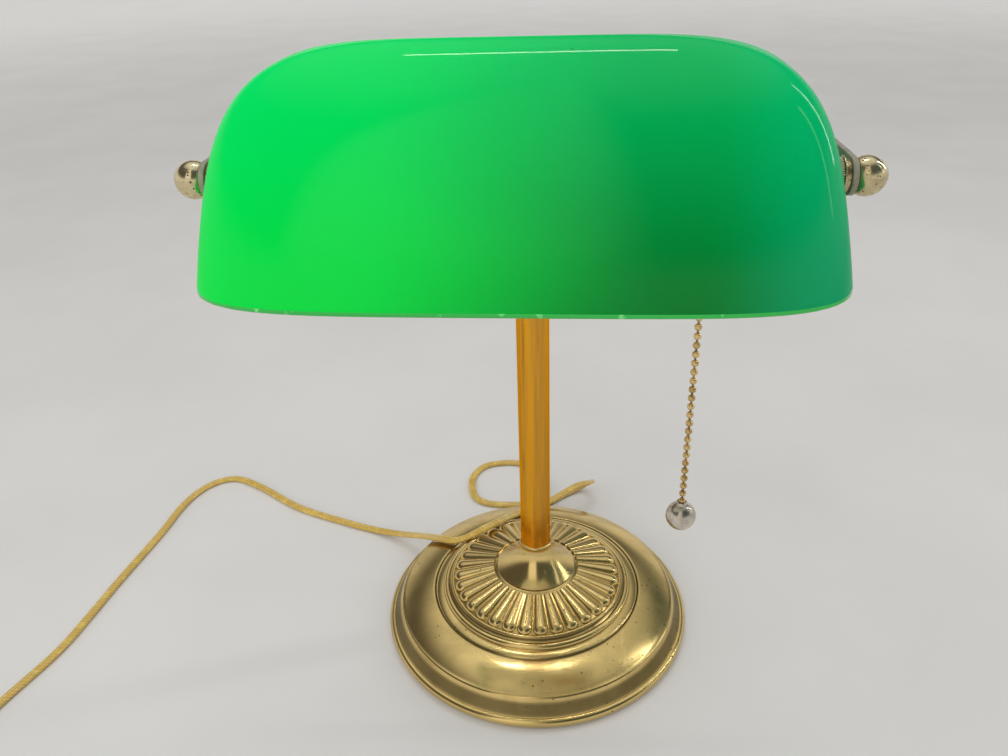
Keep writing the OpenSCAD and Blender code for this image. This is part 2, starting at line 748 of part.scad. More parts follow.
module chain_guide() {
    top_z = pivot_z - body_r;
    bore_r = guide_r - 1;
    color("goldenrod") translate([chain_x, pivot_y, 0]) rotate_extrude() polygon([
        [bore_r, top_z], [guide_r, top_z], [guide_r, guide_low_z + 2.5], [guide_r + 1.2, guide_low_z + 0.8],
        [guide_r + 1.2, guide_low_z], [bore_r + 1.2, guide_low_z], [bore_r, guide_low_z + 2]
    ]);
}

// Bulb

module bulb_glass() {
    neck = [bulb_cap_x[0], bulb_neck_r];
    reach = neck.x - bulb_c_x;
    meet = acos(bulb_r / norm([reach, neck.y])) + atan2(neck.y, reach);
    wall = 0.8;
    color("ivory") difference() {
        turned_x(concat([[neck.x, 0], neck], arc([bulb_c_x, 0], bulb_r, meet, 180, 16)));
        turned_x(concat(
            [[neck.x - wall, 0], [neck.x - wall, neck.y - wall]],
            arc([bulb_c_x, 0], bulb_r - wall, meet, 180, 16)
        ));
    }
}

module bulb_cap() {
    end_x = bulb_cap_x[1];
    color("silver") turned_x(concat(
        [[bulb_cap_x[0], 0]], rolled(bulb_cap_x[0], end_x - 4.5, bulb_cap_r, 0.5),
        [[end_x - 1, 6], [end_x - 1, 4], [end_x, 3], [end_x, 0]]
    ));
}

// Pull chain

module pull_link() {
    color("goldenrod") translate([chain_x, pivot_y, link_low_z]) {
        cylinder(h = pivot_z - link_low_z, r = link_r);
        cylinder(h = 1, r = link_r + 0.4);
    }
}

module top_bead() {
    color("goldenrod") translate([chain_x, pivot_y, top_bead_z]) sphere(bead_r);
}

module pull_chain() {
    color("goldenrod") translate([chain_x, pivot_y, 0]) {
        translate([0, 0, last_bead_z]) cylinder(h = chain_top_z - last_bead_z, r = core_r);
        for (i = [0:beads - 1]) translate([0, 0, first_bead_z - i * bead_pitch]) sphere(bead_r);
    }
}

module pull_ball() {
    color("silver") translate([chain_x, pivot_y, 0]) difference() {
        translate([0, 0, ball_z]) {
            sphere(pull_ball_r);
            cylinder(h = pull_ball_r + 1.2, r = bead_r + 0.8);
        }
        translate([0, 0, last_bead_z]) sphere(bead_r);
    }
}

// Cord and plug

module strain_relief() {
    seat = base_r + 0.2 - relief_start_y;
    end = relief_end_y - relief_start_y;
    color("black") translate([0, relief_start_y, cord_hole_z]) rotate([-90, 0, 0]) rotate_extrude()
        polygon([
            [0, 0], [cord_hole_r, 0], [cord_hole_r, seat], [cord_hole_r + 1.4, seat],
            [cord_hole_r + 1.4, seat + 1.4], [cord_hole_r, seat + 2.2], [cord_w / 2 + 0.3, end], [0, end]
        ]);
}

cord_curve = curve(cord_route, 2);
cord_ups = [for (i = [0:len(cord_curve) - 1])
    i < 2 * fold_i ? [0, 0, 1] : i == 2 * fold_i ? [-0.87, -0.3, -0.38] : [0, 0, -1]];

module cord() {
    color("darkkhaki") tube(cord_curve, cord_ups, cord_w / 2, cord_t / 2, 8);
}

module inner_lead() {
    lead = curve(lead_route, 2);
    color("darkkhaki") tube(lead, [for (p = lead) [1, 0.01, 0]], lead_r, lead_r, 8);
}

// The coil winds inwards, climbs a layer while the spiral turns back, and winds outwards again
turn_rings = 24;
function coil_point(n) =
    let (half = coil_turns / 2, back = abs(n - half), r = coil_out_r - turn_pitch * (half - back))
    [
        coil_c.x + r * cos(-360 * n), coil_c.y + r * sin(-360 * n),
        coil_lift + layer_h * min(1, max(0, 2 * (n - half) + 0.5))
    ];
coil_turn_points = [for (i = [0:coil_turns * turn_rings]) coil_point(i / turn_rings)];

// Least gap between turns, along the line between their centres
function oval_gap(d) = let (across = norm([d.x, d.y]), q = norm([across / cord_w, d.z / cord_t]))
    norm(d) * (1 - 1 / q);
coil_gap = min([for (i = [0:len(coil_turn_points) - 1], j = [i + turn_rings / 2:len(coil_turn_points) - 1])
    oval_gap(coil_turn_points[j] - coil_turn_points[i])]);
echo(str("Least gap between the turns of the coil: ", coil_gap, " mm"));

module cord_coil() {
    path = concat([coil_start], coil_turn_points, [coil_end]);
    color("darkkhaki") tube(path, [for (p = path) [0, 0, 1]], cord_w / 2, cord_t / 2, 6);
}

module coil_tie() {
    strip = 0.6;
    high = coil_lift + layer_h + cord_t / 2 + 0.1;
    mid = coil_out_r - coil_band / 2;
    across = coil_band - turn_pitch / 2 + cord_w + 0.6;
    color("black") translate([coil_c.x - 2.5, coil_c.y - mid - across / 2, strip]) difference() {
        translate([0, -strip, -strip]) cube([5, across + 2 * strip, high + strip]);
        translate([-1, 0, 0]) cube([7, across, high - strip]);
    }
}

plug_l = 34;
plug_half_w = 11;
plug_h = 12.6;
blade_gap = 12.7;
blade_t = 1.5;
blade_l = 16.5;
blade_root = 5;

module blades(extra) {
    for (side = [-1, 1]) {
        tall = (side < 0 ? 7.9 : 6.3) + extra;
        translate([side * blade_gap / 2 - blade_t / 2, plug_l - blade_root, (plug_h - tall) / 2])
            cube([blade_t, blade_l + blade_root, tall]);
    }
}

module plug_body() {
    half = concat(
        [[5, 0], [5.4, 4]], arc([6.4, 11], plug_half_w - 6.4, -50, 0, 5),
        [[plug_half_w, 22]], arc([plug_half_w - 3, plug_l - 3], 3, 0, 90, 5)
    );
    color("black") translate([coil_end.x, coil_end.y, 0]) difference() {
        linear_extrude(plug_h) polygon(concat(half, mirrored(half)));
        blades(0);
    }
}

module plug_blades() {
    color("gold") translate([coil_end.x, coil_end.y, 0]) difference() {
        blades(0);
        translate([-plug_half_w, plug_l + blade_l - 4.5, plug_h / 2]) rotate([0, 90, 0])
            cylinder(h = 2 * plug_half_w, r = 1.6);
    }
}

felt_pad();
base_weight();
base_cover();
base_washer();
base_nut();
lamp_pipe();
stem_skirt();
stem_collar();
stem_bushing();
stem_tube();
stem_head();
yoke();
yoke_screw();
lead_bushing();
inner_lead();
right_nipple();
left_stud();
inner_nuts();
knurled_nuts();
neck_spacers();
glass_shade();
grommets();
seat_washers();
right_finial();
left_finial();
socket_cap();
cap_screw();
socket_shell();
socket_liner();
switch_body();
terminal_screws();
screw_shell();
centre_contact();
switch_cam();
chain_guide();
bulb_glass();
bulb_cap();
pull_link();
top_bead();
pull_chain();
pull_ball();
strain_relief();
cord();
cord_coil();
coil_tie();
plug_body();
plug_blades();
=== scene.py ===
"""Bankers lamp: the looks of the packed part.

The file is laid out as an add-on and is run as a script. Shapes are worked out in millimetres, in the
packed part's own frame, and every piece is put into Blender in metres with its place in its mesh.
"""
import math

import bmesh
import bpy
from bpy.props import FloatProperty, FloatVectorProperty, IntProperty, PointerProperty
from mathutils import Matrix, Vector


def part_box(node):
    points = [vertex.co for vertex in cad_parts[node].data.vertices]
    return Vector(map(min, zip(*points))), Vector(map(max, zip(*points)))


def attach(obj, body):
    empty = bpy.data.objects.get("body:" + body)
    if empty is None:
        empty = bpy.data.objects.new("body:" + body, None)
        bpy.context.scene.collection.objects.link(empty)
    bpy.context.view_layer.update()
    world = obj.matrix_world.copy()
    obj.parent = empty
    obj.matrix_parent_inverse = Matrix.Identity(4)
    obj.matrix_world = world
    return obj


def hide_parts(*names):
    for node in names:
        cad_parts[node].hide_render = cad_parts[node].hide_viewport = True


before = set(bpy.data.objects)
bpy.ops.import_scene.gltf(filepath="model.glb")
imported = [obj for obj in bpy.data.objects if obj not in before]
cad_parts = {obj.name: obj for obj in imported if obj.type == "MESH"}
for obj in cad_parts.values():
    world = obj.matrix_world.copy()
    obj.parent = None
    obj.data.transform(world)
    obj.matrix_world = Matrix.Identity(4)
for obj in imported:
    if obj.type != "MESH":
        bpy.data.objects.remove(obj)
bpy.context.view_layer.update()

bl_info = {
    "name": "Bankers Lamp",
    "version": (1, 0, 0),
    "blender": (4, 5, 0),
    "location": "3D View > Sidebar > Lamp",
    "description": "Makes the finished pieces of a bankers lamp around its packed part",
    "category": "Add Mesh",
}

MM = 0.001


def span(node):
    """Lowest and highest corner of a CAD node, in millimetres."""
    low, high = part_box(node)
    return low / MM, high / MM


def middle(node):
    """Middle of a CAD node's box, in millimetres."""
    low, high = span(node)
    return (low + high) / 2


# Places that the pieces share, read from the packed part
AXIS = middle("right_finial")
RIM_Z = span("glass_shade")[0].z
SHADE_TOP_Z = span("glass_shade")[1].z
SHADE_HALF_L = span("glass_shade")[1].x
SHADE_HALF_D = (span("glass_shade")[1].y - span("glass_shade")[0].y) / 2
PAD_OUT_X = span("seat_washers")[1].x - 1
SEAT_Z = span("stem_skirt")[0].z
BASE_R = span("base_cover")[1].x
STEM_R = span("stem_tube")[1].x


# ---------------------------------------------------------------- sizes and colours a user may change

def length(name, description, default):
    """A length property, given in millimetres."""
    return FloatProperty(
        name=name, description=description, default=default * MM, min=0.0, precision=4, subtype="DISTANCE", unit="LENGTH"
    )


def colour(name, description, code):
    """A colour property, given as the colour's hexadecimal code."""
    return FloatVectorProperty(
        name=name, description=description, default=linear(code), min=0.0, max=1.0, size=3, subtype="COLOR"
    )


def linear(code):
    """Scene-linear colour of a hexadecimal code."""
    parts = [int(code[i:i + 2], 16) / 255 for i in (1, 3, 5)]
    return tuple(p / 12.92 if p <= 0.04045 else ((p + 0.055) / 1.055) ** 2.4 for p in parts)


class LampShadeSettings(bpy.types.PropertyGroup):
    """Glass shade"""

    wall: length("Glass", "Thickness of the glass", 3)
    # lit, shaded and end are painted light and shade: the glass changes colour from side to side with how the daylight
    # fell
    lit: colour("Lit green", "Green of the glass where the daylight comes through", "#00E64A")
    shaded: colour("Deep green", "Green of the glass away from the daylight", "#00842F")
    crown: colour("Crown green", "Green that the glass turns to towards its top", "#00DC78")
    end: colour("End green", "Green of the glass at its right end", "#00A86A")
    lining: colour("Lining", "White of the inner glass", "#EDF1E8")
    sides: IntProperty(name="Sides", description="Points round the shade, in a quarter", default=40, min=12, max=80)


class LampBaseSettings(bpy.types.PropertyGroup):
    """Base"""

    flutes: IntProperty(name="Flutes", description="Number of flutes round the stem", default=32, min=16, max=48)
    flute_narrow: length("Flute, inner end", "Half the width of a flute at its inner end", 2.3)
    flute_wide: length("Flute, outer end", "Half the width of a flute at its round outer end", 4.5)
    flute_flat: FloatProperty(name="Flute, flatness", description="Height of a flute as a share of its width",
                              default=0.66, min=0.3, max=1.0)
    sheet: length("Sheet", "Thickness of the stamped sheet", 1.2)


class LampBrassSettings(bpy.types.PropertyGroup):
    """Brass finishes"""

    polished: colour("Polished", "Brass where it is handled and rubbed", "#E0C482")
    tarnished: colour("Tarnished", "Brass where it has darkened", "#857646")
    stem: colour("Stem", "Warm brass of the stem", "#F6AE2C")
    yoke: colour("Yoke", "Bronze of the yoke strip", "#A39A88")


class LampChainSettings(bpy.types.PropertyGroup):
    """Pull chain"""

    beads: IntProperty(name="Beads", description="Number of beads under the top bead", default=29, min=5, max=60)
    bead: length("Bead", "Radius of a bead", 1.6)
    pitch: length("Pitch", "Distance from bead to bead", 4.16)
    pin: length("Pin", "Radius of the pin between two beads", 0.45)


class LampCordSettings(bpy.types.PropertyGroup):
    """Supply cord"""

    width: length("Width", "Width of the flat twin cord", 5.2)
    thickness: length("Thickness", "Thickness of the flat twin cord", 2.6)
    real: length("Length", "Real length of the cord", 1800)
    tint: colour("Tint", "Colour of the clear gold insulation", "#DAB650")


# ---------------------------------------------------------------- points, curves and meshes

def arc(cx, cy, r, a, b, n):
    """Points on an arc from angle a to angle b, in degrees."""
    turns = [math.radians(a + (b - a) * i / n) for i in range(n + 1)]
    return [(cx + r * math.cos(t), cy + r * math.sin(t)) for t in turns]


def bow(p, q, h, n):
    """Points on a shallow bow from p to q that rises by h in its middle."""
    return [
        (p[0] + (q[0] - p[0]) * t, p[1] + (q[1] - p[1]) * t + 4 * h * t * (1 - t))
        for t in (i / n for i in range(n + 1))
    ]


def smooth(x, low, high):
    """0 below low, 1 above high, and an even change between them."""
    t = min(1.0, max(0.0, (x - low) / (high - low)))
    return t * t * (3 - 2 * t)


def eased(corners, r, closed=False):
    """The corners of an outline, each one rounded by about r, with a point on both sides that keeps flats flat."""
    made = []
    count = len(corners)
    for i, corner in enumerate(corners):
        if not closed and i in (0, count - 1):
            made.append(corner)
            continue
        p = Vector(corner)
        back = Vector(corners[i - 1]) - p
        on = Vector(corners[(i + 1) % count]) - p
        d = min(r, 0.4 * back.length, 0.4 * on.length)
        a, b = p + back.normalized() * d, p + on.normalized() * d
        if back.length > 4 * d:
            made.append(tuple(p + back.normalized() * 1.5 * d))
        made += [tuple(a * (1 - t) ** 2 + p * 2 * t * (1 - t) + b * t * t) for t in (0, 0.33, 0.67, 1)]
        if on.length > 4 * d:
            made.append(tuple(p + on.normalized() * 1.5 * d))
    return made


def catmull(points, steps):
    """Points on the smooth curve through the given ones, steps to each stretch."""
    p = [Vector(q) for q in points]
    p = [2 * p[0] - p[1], *p, 2 * p[-1] - p[-2]]
    made = []
    for i in range(1, len(p) - 2):
        a, b, c, d = p[i - 1:i + 3]
        for k in range(steps):
            t = k / steps
            made.append(0.5 * (2 * b + (c - a) * t + (2 * a - 5 * b + 4 * c - d) * t * t
                               + (3 * b - a - 3 * c + d) * t ** 3))
    return [*made, p[-2]]


def turned(profile, steps, closed=False):
    """A shape turned about the Z axis from (radius, height) points. Closed joins the last point to the first."""
    points, faces, rows = [], [], []
    for r, z in profile:
        count = 1 if r < 1e-6 else steps
        rows.append([len(points) + k for k in range(count)])
        points += [(r * math.cos(math.tau * k / steps), r * math.sin(math.tau * k / steps), z) for k in range(count)]
    for a, b in zip(rows, rows[1:] + (rows[:1] if closed else [])):
        for k in range(steps):
            loop = [a[k % len(a)], a[(k + 1) % len(a)], b[(k + 1) % len(b)], b[k % len(b)]]
            loop = list(dict.fromkeys(loop))
            if len(loop) > 2:
                faces.append(loop)
    return points, faces


def turned_x(profile, steps, closed=False, side=1):
    """A shape turned about the shade's axis from (distance along the axis, radius) points."""
    points, faces = turned([(r, x) for x, r in profile], steps, closed)
    return [(side * z, AXIS.y + x, AXIS.z + y) for x, y, z in points], faces


def joined(*shapes):
    """Several shapes as one list of points and one of faces."""
    points, faces = [], []
    for more_points, more_faces in shapes:
        faces += [[i + len(points) for i in face] for face in more_faces]
        points += list(more_points)
    return points, faces


def new_mesh(name, shape, materials, sharp=40, picks=None, grime=None):
    """A mesh object in metres from a shape in millimetres, with its faces turned outwards."""
    points, faces = shape
    mesh = bpy.data.meshes.new(name)
    mesh.from_pydata([tuple(c * MM for c in p) for p in points], [], faces)
    if not mesh.polygons:
        raise RuntimeError(f"{name} has no faces")
    for material in materials:
        mesh.materials.append(material)
    if picks:
        mesh.polygons.foreach_set("material_index", picks)
    if grime:
        store(mesh, "grime", [grime(Vector(p)) for p in points])
    outwards(mesh)
    mesh.polygons.foreach_set("use_smooth", [True] * len(mesh.polygons))
    mesh.set_sharp_from_angle(angle=math.radians(sharp))
    made = bpy.data.objects.new(name, mesh)
    bpy.context.scene.collection.objects.link(made)
    return made


def outwards(mesh):
    """Turns the faces of a closed mesh outwards."""
    work = bmesh.new()
    work.from_mesh(mesh)
    bmesh.ops.recalc_face_normals(work, faces=work.faces)
    work.to_mesh(mesh)
    work.free()


def store(mesh, name, values):
    """Keeps one value for each point of a mesh."""
    attribute = mesh.attributes.get(name) or mesh.attributes.new(name, "FLOAT", "POINT")
    attribute.data.foreach_set("value", values)


def settled(piece):
    """The piece with its modifiers made part of its mesh."""
    bpy.context.view_layer.update()
    view = bpy.context.evaluated_depsgraph_get()
    mesh = bpy.data.meshes.new_from_object(piece.evaluated_get(view), preserve_all_data_layers=True, depsgraph=view)
    if not mesh.polygons:
        raise RuntimeError(f"{piece.name} came out empty")
    piece.modifiers.clear()
    piece.data = mesh
    mesh.name = piece.name
    return piece


def finished(piece, body, slot, *nodes):
    """Gives a finished piece its body and hides the CAD nodes that it stands for. slot is not used."""
    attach(piece, body)
    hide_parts(*nodes)
    return piece


def dressed(material, *nodes):
    """Gives CAD nodes that keep their shape their finished material."""
    for node in nodes:
        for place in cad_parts[node].material_slots:
            place.material = material


# ---------------------------------------------------------------- node trees

class Tree:
    """A node tree with short calls that add a node, set its inputs and link it."""

    def __init__(self, tree):
        self.tree = tree

    def node(self, kind, inputs=None, **settings):
        made = self.tree.nodes.new(kind)
        for key, value in settings.items():
            setattr(made, key, value)
        for key, value in (inputs or {}).items():
            self.give(made.inputs[key], value)
        return made

    def give(self, socket, value):
        if isinstance(value, bpy.types.NodeSocket):
            self.tree.links.new(value, socket)
        else:
            socket.default_value = value

    def math(self, operation, a, b=0.0, c=0.0):
        return self.node("ShaderNodeMath", {0: a, 1: b, 2: c}, operation=operation).outputs[0]

    def ramp(self, value, low, high, to_low=0.0, to_high=1.0):
        made = self.node(
            "ShaderNodeMapRange", {"Value": value, "From Min": low, "From Max": high, "To Min": to_low, "To Max": to_high},
            interpolation_type="SMOOTHSTEP",
        )
        return made.outputs["Result"]

    def mix(self, factor, a, b, blend="MIX"):
        made = self.node("ShaderNodeMix", {0: factor}, data_type="RGBA", blend_type=blend)
        for index, value in ((6, a), (7, b)):
            self.give(made.inputs[index], value if isinstance(value, bpy.types.NodeSocket) else (*value, 1.0))
        return made.outputs[2]

    def noise(self, vector, scale, detail=3.0, roughness=0.5, distortion=0.0):
        made = self.node("ShaderNodeTexNoise", {
            "Vector": vector, "Scale": scale, "Detail": detail, "Roughness": roughness, "Distortion": distortion,
        })
        return made.outputs["Fac"]

    def stretched(self, vector, scale, turn=(0.0, 0.0, 0.0)):
        return self.node("ShaderNodeMapping", {"Vector": vector, "Scale": scale, "Rotation": turn}).outputs[0]


def effect(name, inputs, outputs):
    """A new shader node group: its tree, its inputs and the sockets of its outputs."""
    tree = bpy.data.node_groups.new(name, "ShaderNodeTree")
    for label, kind, default in inputs:
        made = tree.interface.new_socket(label, in_out="INPUT", socket_type=kind)
        if default is not None:
            made.default_value = default
    for label in outputs:
        tree.interface.new_socket(label, in_out="OUTPUT", socket_type="NodeSocketFloat")
    start = tree.nodes.new("NodeGroupInput")
    end = tree.nodes.new("NodeGroupOutput")
    return Tree(tree), start.outputs, end.inputs


def tarnish_effect():
    """Clouds of tarnish, small dark spots, fine scratches and the height that goes with them."""
    t, given, out = effect("lamp_tarnish", [
        ("Vector", "NodeSocketVector", None),
        ("Cloud Scale", "NodeSocketFloat", 30.0),
        ("Spot Scale", "NodeSocketFloat", 300.0),
        ("Spot Size", "NodeSocketFloat", 0.2),
        ("Scratch Scale", "NodeSocketFloat", 300.0),
    ], ["Clouds", "Spots", "Scratches", "Height"])
    vector = given["Vector"]
    clouds = t.ramp(t.noise(vector, given["Cloud Scale"], 7.0, 0.62, 0.4), 0.36, 0.68)
    gate = t.ramp(t.noise(vector, t.math("MULTIPLY", given["Spot Scale"], 0.12), 2.0), 0.45, 0.62)
    cells = t.node("ShaderNodeTexVoronoi", {"Vector": vector, "Scale": given["Spot Scale"], "Randomness": 1.0})
    spots = t.ramp(cells.outputs["Distance"], given["Spot Size"], t.math("MULTIPLY", given["Spot Size"], 0.45))
    spots = t.math("MULTIPLY", spots, gate)
    lines = [
        t.ramp(t.noise(t.stretched(vector, size, turn), given["Scratch Scale"], 2.0), 0.66, 0.74)
        for size, turn in (((1.0, 0.03, 0.4), (0.3, 0.5, 0.9)), ((0.03, 1.0, 0.4), (0.9, 0.2, 2.1)))
    ]
    scratches = t.math("MAXIMUM", *lines)
    height = t.math("MULTIPLY_ADD", spots, -0.8, t.math("MULTIPLY_ADD", scratches, -0.25, t.math("MULTIPLY", clouds, 0.1)))
    for label, value in (("Clouds", clouds), ("Spots", spots), ("Scratches", scratches), ("Height", height)):
        t.give(out[label], value)
    return t.tree


def grain_effect():
    """Even grain for castings, rubber, moulded plastic and paper."""
    t, given, out = effect("lamp_grain", [
        ("Vector", "NodeSocketVector", None),
        ("Scale", "NodeSocketFloat", 900.0),
        ("Patch Scale", "NodeSocketFloat", 40.0),
    ], ["Grain", "Patches"])
    cells = t.node("ShaderNodeTexVoronoi", {"Vector": given["Vector"], "Scale": given["Scale"]}).outputs["Distance"]
    fine = t.noise(given["Vector"], t.math("MULTIPLY", given["Scale"], 1.7), 4.0, 0.7)
    t.give(out["Grain"], t.math("ADD", t.math("MULTIPLY", cells, 0.6), t.math("MULTIPLY", fine, 0.6)))
    t.give(out["Patches"], t.ramp(t.noise(given["Vector"], given["Patch Scale"], 4.0, 0.6), 0.35, 0.65))
    return t.tree


class Paint(Tree):
    """A material under construction: its Principled shader and its object coordinates."""

    def __init__(self, name, **values):
        self.material = bpy.data.materials.new(name)
        self.material.use_nodes = True
        super().__init__(self.material.node_tree)
        self.shader = self.tree.nodes["Principled BSDF"]
        self.place = self.node("ShaderNodeTexCoord").outputs["Object"]
        for key, value in values.items():
            self.give(self.shader.inputs[key.replace("_", " ")], value)

    def use(self, group, **inputs):
        made = self.node("ShaderNodeGroup", node_tree=bpy.data.node_groups[group])
        self.give(made.inputs["Vector"], inputs.pop("Vector", self.place))
        for key, value in inputs.items():
            self.give(made.inputs[key.replace("_", " ")], value)
        return made.outputs

    def bump(self, height, distance, strength=1.0):
        made = self.node("ShaderNodeBump", {"Height": height, "Distance": distance * MM, "Strength": strength})
        self.give(self.shader.inputs["Normal"], made.outputs[0])

    def coat(self, colours, roughness):
        self.give(self.shader.inputs["Base Color"], colours)
        self.give(self.shader.inputs["Roughness"], roughness)
        return self.material


def metal(name, clean, dark, spot, rough, clouds=30.0, spots=300.0, spot_size=0.2, scratches=300.0,
          cover=0.7, depth=0.05, strength=0.4, run=1.0, **values):
    """A metal whose clean colour is clouded by tarnish, with dark spots, scratches, and painted shade with some grime
    in its recesses.
    """
    p = Paint(name, **{"Metallic": 1.0, **values})
    marks = p.use("lamp_tarnish", Vector=p.stretched(p.place, (1.0, 1.0, run)), Cloud_Scale=clouds, Spot_Scale=spots,
                  Spot_Size=spot_size, Scratch_Scale=scratches)
    grime = p.node("ShaderNodeAttribute", attribute_name="grime").outputs["Fac"]
    colours = p.mix(p.math("MULTIPLY", marks["Clouds"], cover), clean, dark)
    colours = p.mix(p.math("MULTIPLY", marks["Scratches"], 0.35), colours, clean)
    colours = p.mix(marks["Spots"], colours, spot)
    # painted shade, with some grime: darkens towards a dark tarnish where the mesh's grime value is high
    colours = p.mix(grime, colours, [c * 0.22 for c in dark])
    rough_more = p.math("MULTIPLY_ADD", marks["Clouds"], 0.12, rough)
    rough_more = p.math("MULTIPLY_ADD", marks["Spots"], 0.25, rough_more)
    rough_more = p.math("MULTIPLY_ADD", grime, 0.3, rough_more)
    p.bump(marks["Height"], depth, strength)
    return p.coat(colours, rough_more)


def moulded(name, colours, rough, grain=900.0, depth=0.03, strength=0.4, patches=40.0, **values):
    """Rubber, plastic, cast iron or paper: a colour with slight patches and an even grain."""
    p = Paint(name, **values)
    marks = p.use("lamp_grain", Scale=grain, Patch_Scale=patches)
    p.bump(marks["Grain"], depth, strength)
    return p.coat(p.mix(marks["Patches"], colours, [c * 0.72 for c in colours]),
                  p.math("MULTIPLY_ADD", marks["Patches"], 0.1, rough))


def shade_glass(settings):
    """Cased green glass with painted light: brighter and yellower on the left where daylight came through, painted
    shade deeper on the right, and a paler, bluer right end.
    """
    p = Paint("green_glass", Coat_Weight=0.32, Coat_Roughness=0.02, Specular_IOR_Level=0.0, Subsurface_Weight=0.5,
              Subsurface_Radius=(0.7, 1.0, 0.8), Subsurface_Scale=0.004)
    place = p.node("ShaderNodeSeparateXYZ", {0: p.place}).outputs
    drift = p.math("MULTIPLY_ADD", p.noise(p.place, 9.0, 2.0), 0.05, -0.025)
    # painted light: a ramp across the shade from the lit left to the shaded right
    across = p.ramp(p.math("ADD", place[0], drift), -0.06, 0.05)
    colours = p.mix(across, settings.lit, settings.shaded)
    # painted light: only the right end takes the paler, bluer end green
    colours = p.mix(p.ramp(place[0], 0.06, 0.105), colours, settings.end)
    colours = p.mix(p.ramp(place[2], RIM_Z * MM, SHADE_TOP_Z * MM, 0.0, 0.5), colours, settings.crown)
    cells = p.node("ShaderNodeTexVoronoi", {"Vector": p.place, "Scale": 55.0})
    specks = p.ramp(cells.outputs["Distance"], 0.045, 0.02)
    specks = p.math("MULTIPLY", specks, p.ramp(p.noise(p.place, 21.0), 0.62, 0.66))
    colours = p.mix(p.math("MULTIPLY", specks, 0.7), colours, [c * 0.25 for c in settings.shaded])
    film = p.ramp(p.noise(p.stretched(p.place, (1.0, 1.0, 2.5)), 40.0, 5.0, 0.7), 0.4, 0.75)
    p.bump(p.noise(p.place, 60.0, 1.0), 0.1, 0.12)
    return p.coat(colours, p.math("MULTIPLY_ADD", film, 0.07, 0.06))


def shade_lining(settings):
    """White inner glass, with the slight warmth of age near the rim."""
    p = Paint("white_lining", Coat_Weight=0.6, Coat_Roughness=0.05, Subsurface_Weight=1.0,
              Subsurface_Radius=(1.0, 1.0, 1.0), Subsurface_Scale=0.02)
    height = p.node("ShaderNodeSeparateXYZ", {0: p.place}).outputs[2]
    stains = p.math("MULTIPLY", p.ramp(p.noise(p.place, 25.0, 5.0, 0.65), 0.45, 0.75), 0.5)
    aged = p.math("MULTIPLY", stains, p.ramp(height, (RIM_Z + 25) * MM, RIM_Z * MM))
    return p.coat(p.mix(aged, settings.lining, [c * 0.8 for c in settings.lining]),
                  p.math("MULTIPLY_ADD", stains, 0.2, 0.18))


def shade_edge(settings):
    """Ground edge of the glass, where the green layer shows thinner and paler."""
    p = Paint("green_edge", Coat_Weight=0.8, Coat_Roughness=0.08)
    chips = p.ramp(p.noise(p.place, 180.0, 3.0), 0.6, 0.7)
    pale = [0.8 * a + 0.2 * b for a, b in zip(settings.lit, settings.lining)]
    return p.coat(p.mix(chips, [0.5 * a + 0.5 * b for a, b in zip(settings.lit, settings.shaded)], pale),
                  p.math("MULTIPLY_ADD", chips, 0.2, 0.15))


def cord_gold(settings):
    """Clear gold insulation over stranded copper, its pattern laid along the cord by the UV map."""
    p = Paint("gold_cord", Coat_Weight=0.7, Coat_Roughness=0.12, Subsurface_Weight=0.25, Subsurface_Scale=0.002)
    along = p.node("ShaderNodeUVMap").outputs[0]
    strands = p.node("ShaderNodeTexWave", {"Vector": along, "Scale": 260.0, "Distortion": 1.5, "Detail": 1.0},
                     wave_type="BANDS", bands_direction="DIAGONAL").outputs["Fac"]
    dust = p.ramp(p.noise(p.place, 160.0, 4.0, 0.6), 0.45, 0.75)
    core = p.mix(p.math("MULTIPLY", strands, 0.45), settings.tint, [c * 0.45 for c in settings.tint])
    colours = p.mix(p.math("MULTIPLY", dust, 0.35), core, [min(1.0, c * 1.7) for c in settings.tint])
    p.bump(strands, 0.05, 0.2)
    return p.coat(colours, p.math("MULTIPLY_ADD", dust, 0.25, 0.22))


def opal_bulb():
    """White glass of the bulb, a little uneven inside."""
    p = Paint("bulb_white", Coat_Weight=0.5, Coat_Roughness=0.06, Subsurface_Weight=0.2, Subsurface_Scale=0.004)
    haze = p.ramp(p.noise(p.place, 70.0, 3.0), 0.35, 0.7)
    return p.coat(p.mix(haze, linear("#F4F2EA"), linear("#E6E3D8")), p.math("MULTIPLY_ADD", haze, 0.08, 0.2))


def green_felt():
    """Felt: short fibres that cross, in an uneven dark green."""
    p = Paint("felt", Roughness=0.95, Sheen_Weight=0.4, Sheen_Roughness=0.6)
    fibres = p.math(
        "MAXIMUM",
        p.noise(p.stretched(p.place, (1.0, 0.12, 1.0), (0.0, 0.0, 0.6)), 1500.0, 3.0),
        p.noise(p.stretched(p.place, (0.12, 1.0, 1.0), (0.0, 0.0, 0.3)), 1500.0, 3.0),
    )
    p.bump(fibres, 0.2, 0.7)
    tint = p.mix(p.ramp(fibres, 0.45, 0.75), linear("#24402C"), linear("#3C6045"))
    return p.coat(tint, p.math("MULTIPLY_ADD", fibres, 0.1, 0.85))


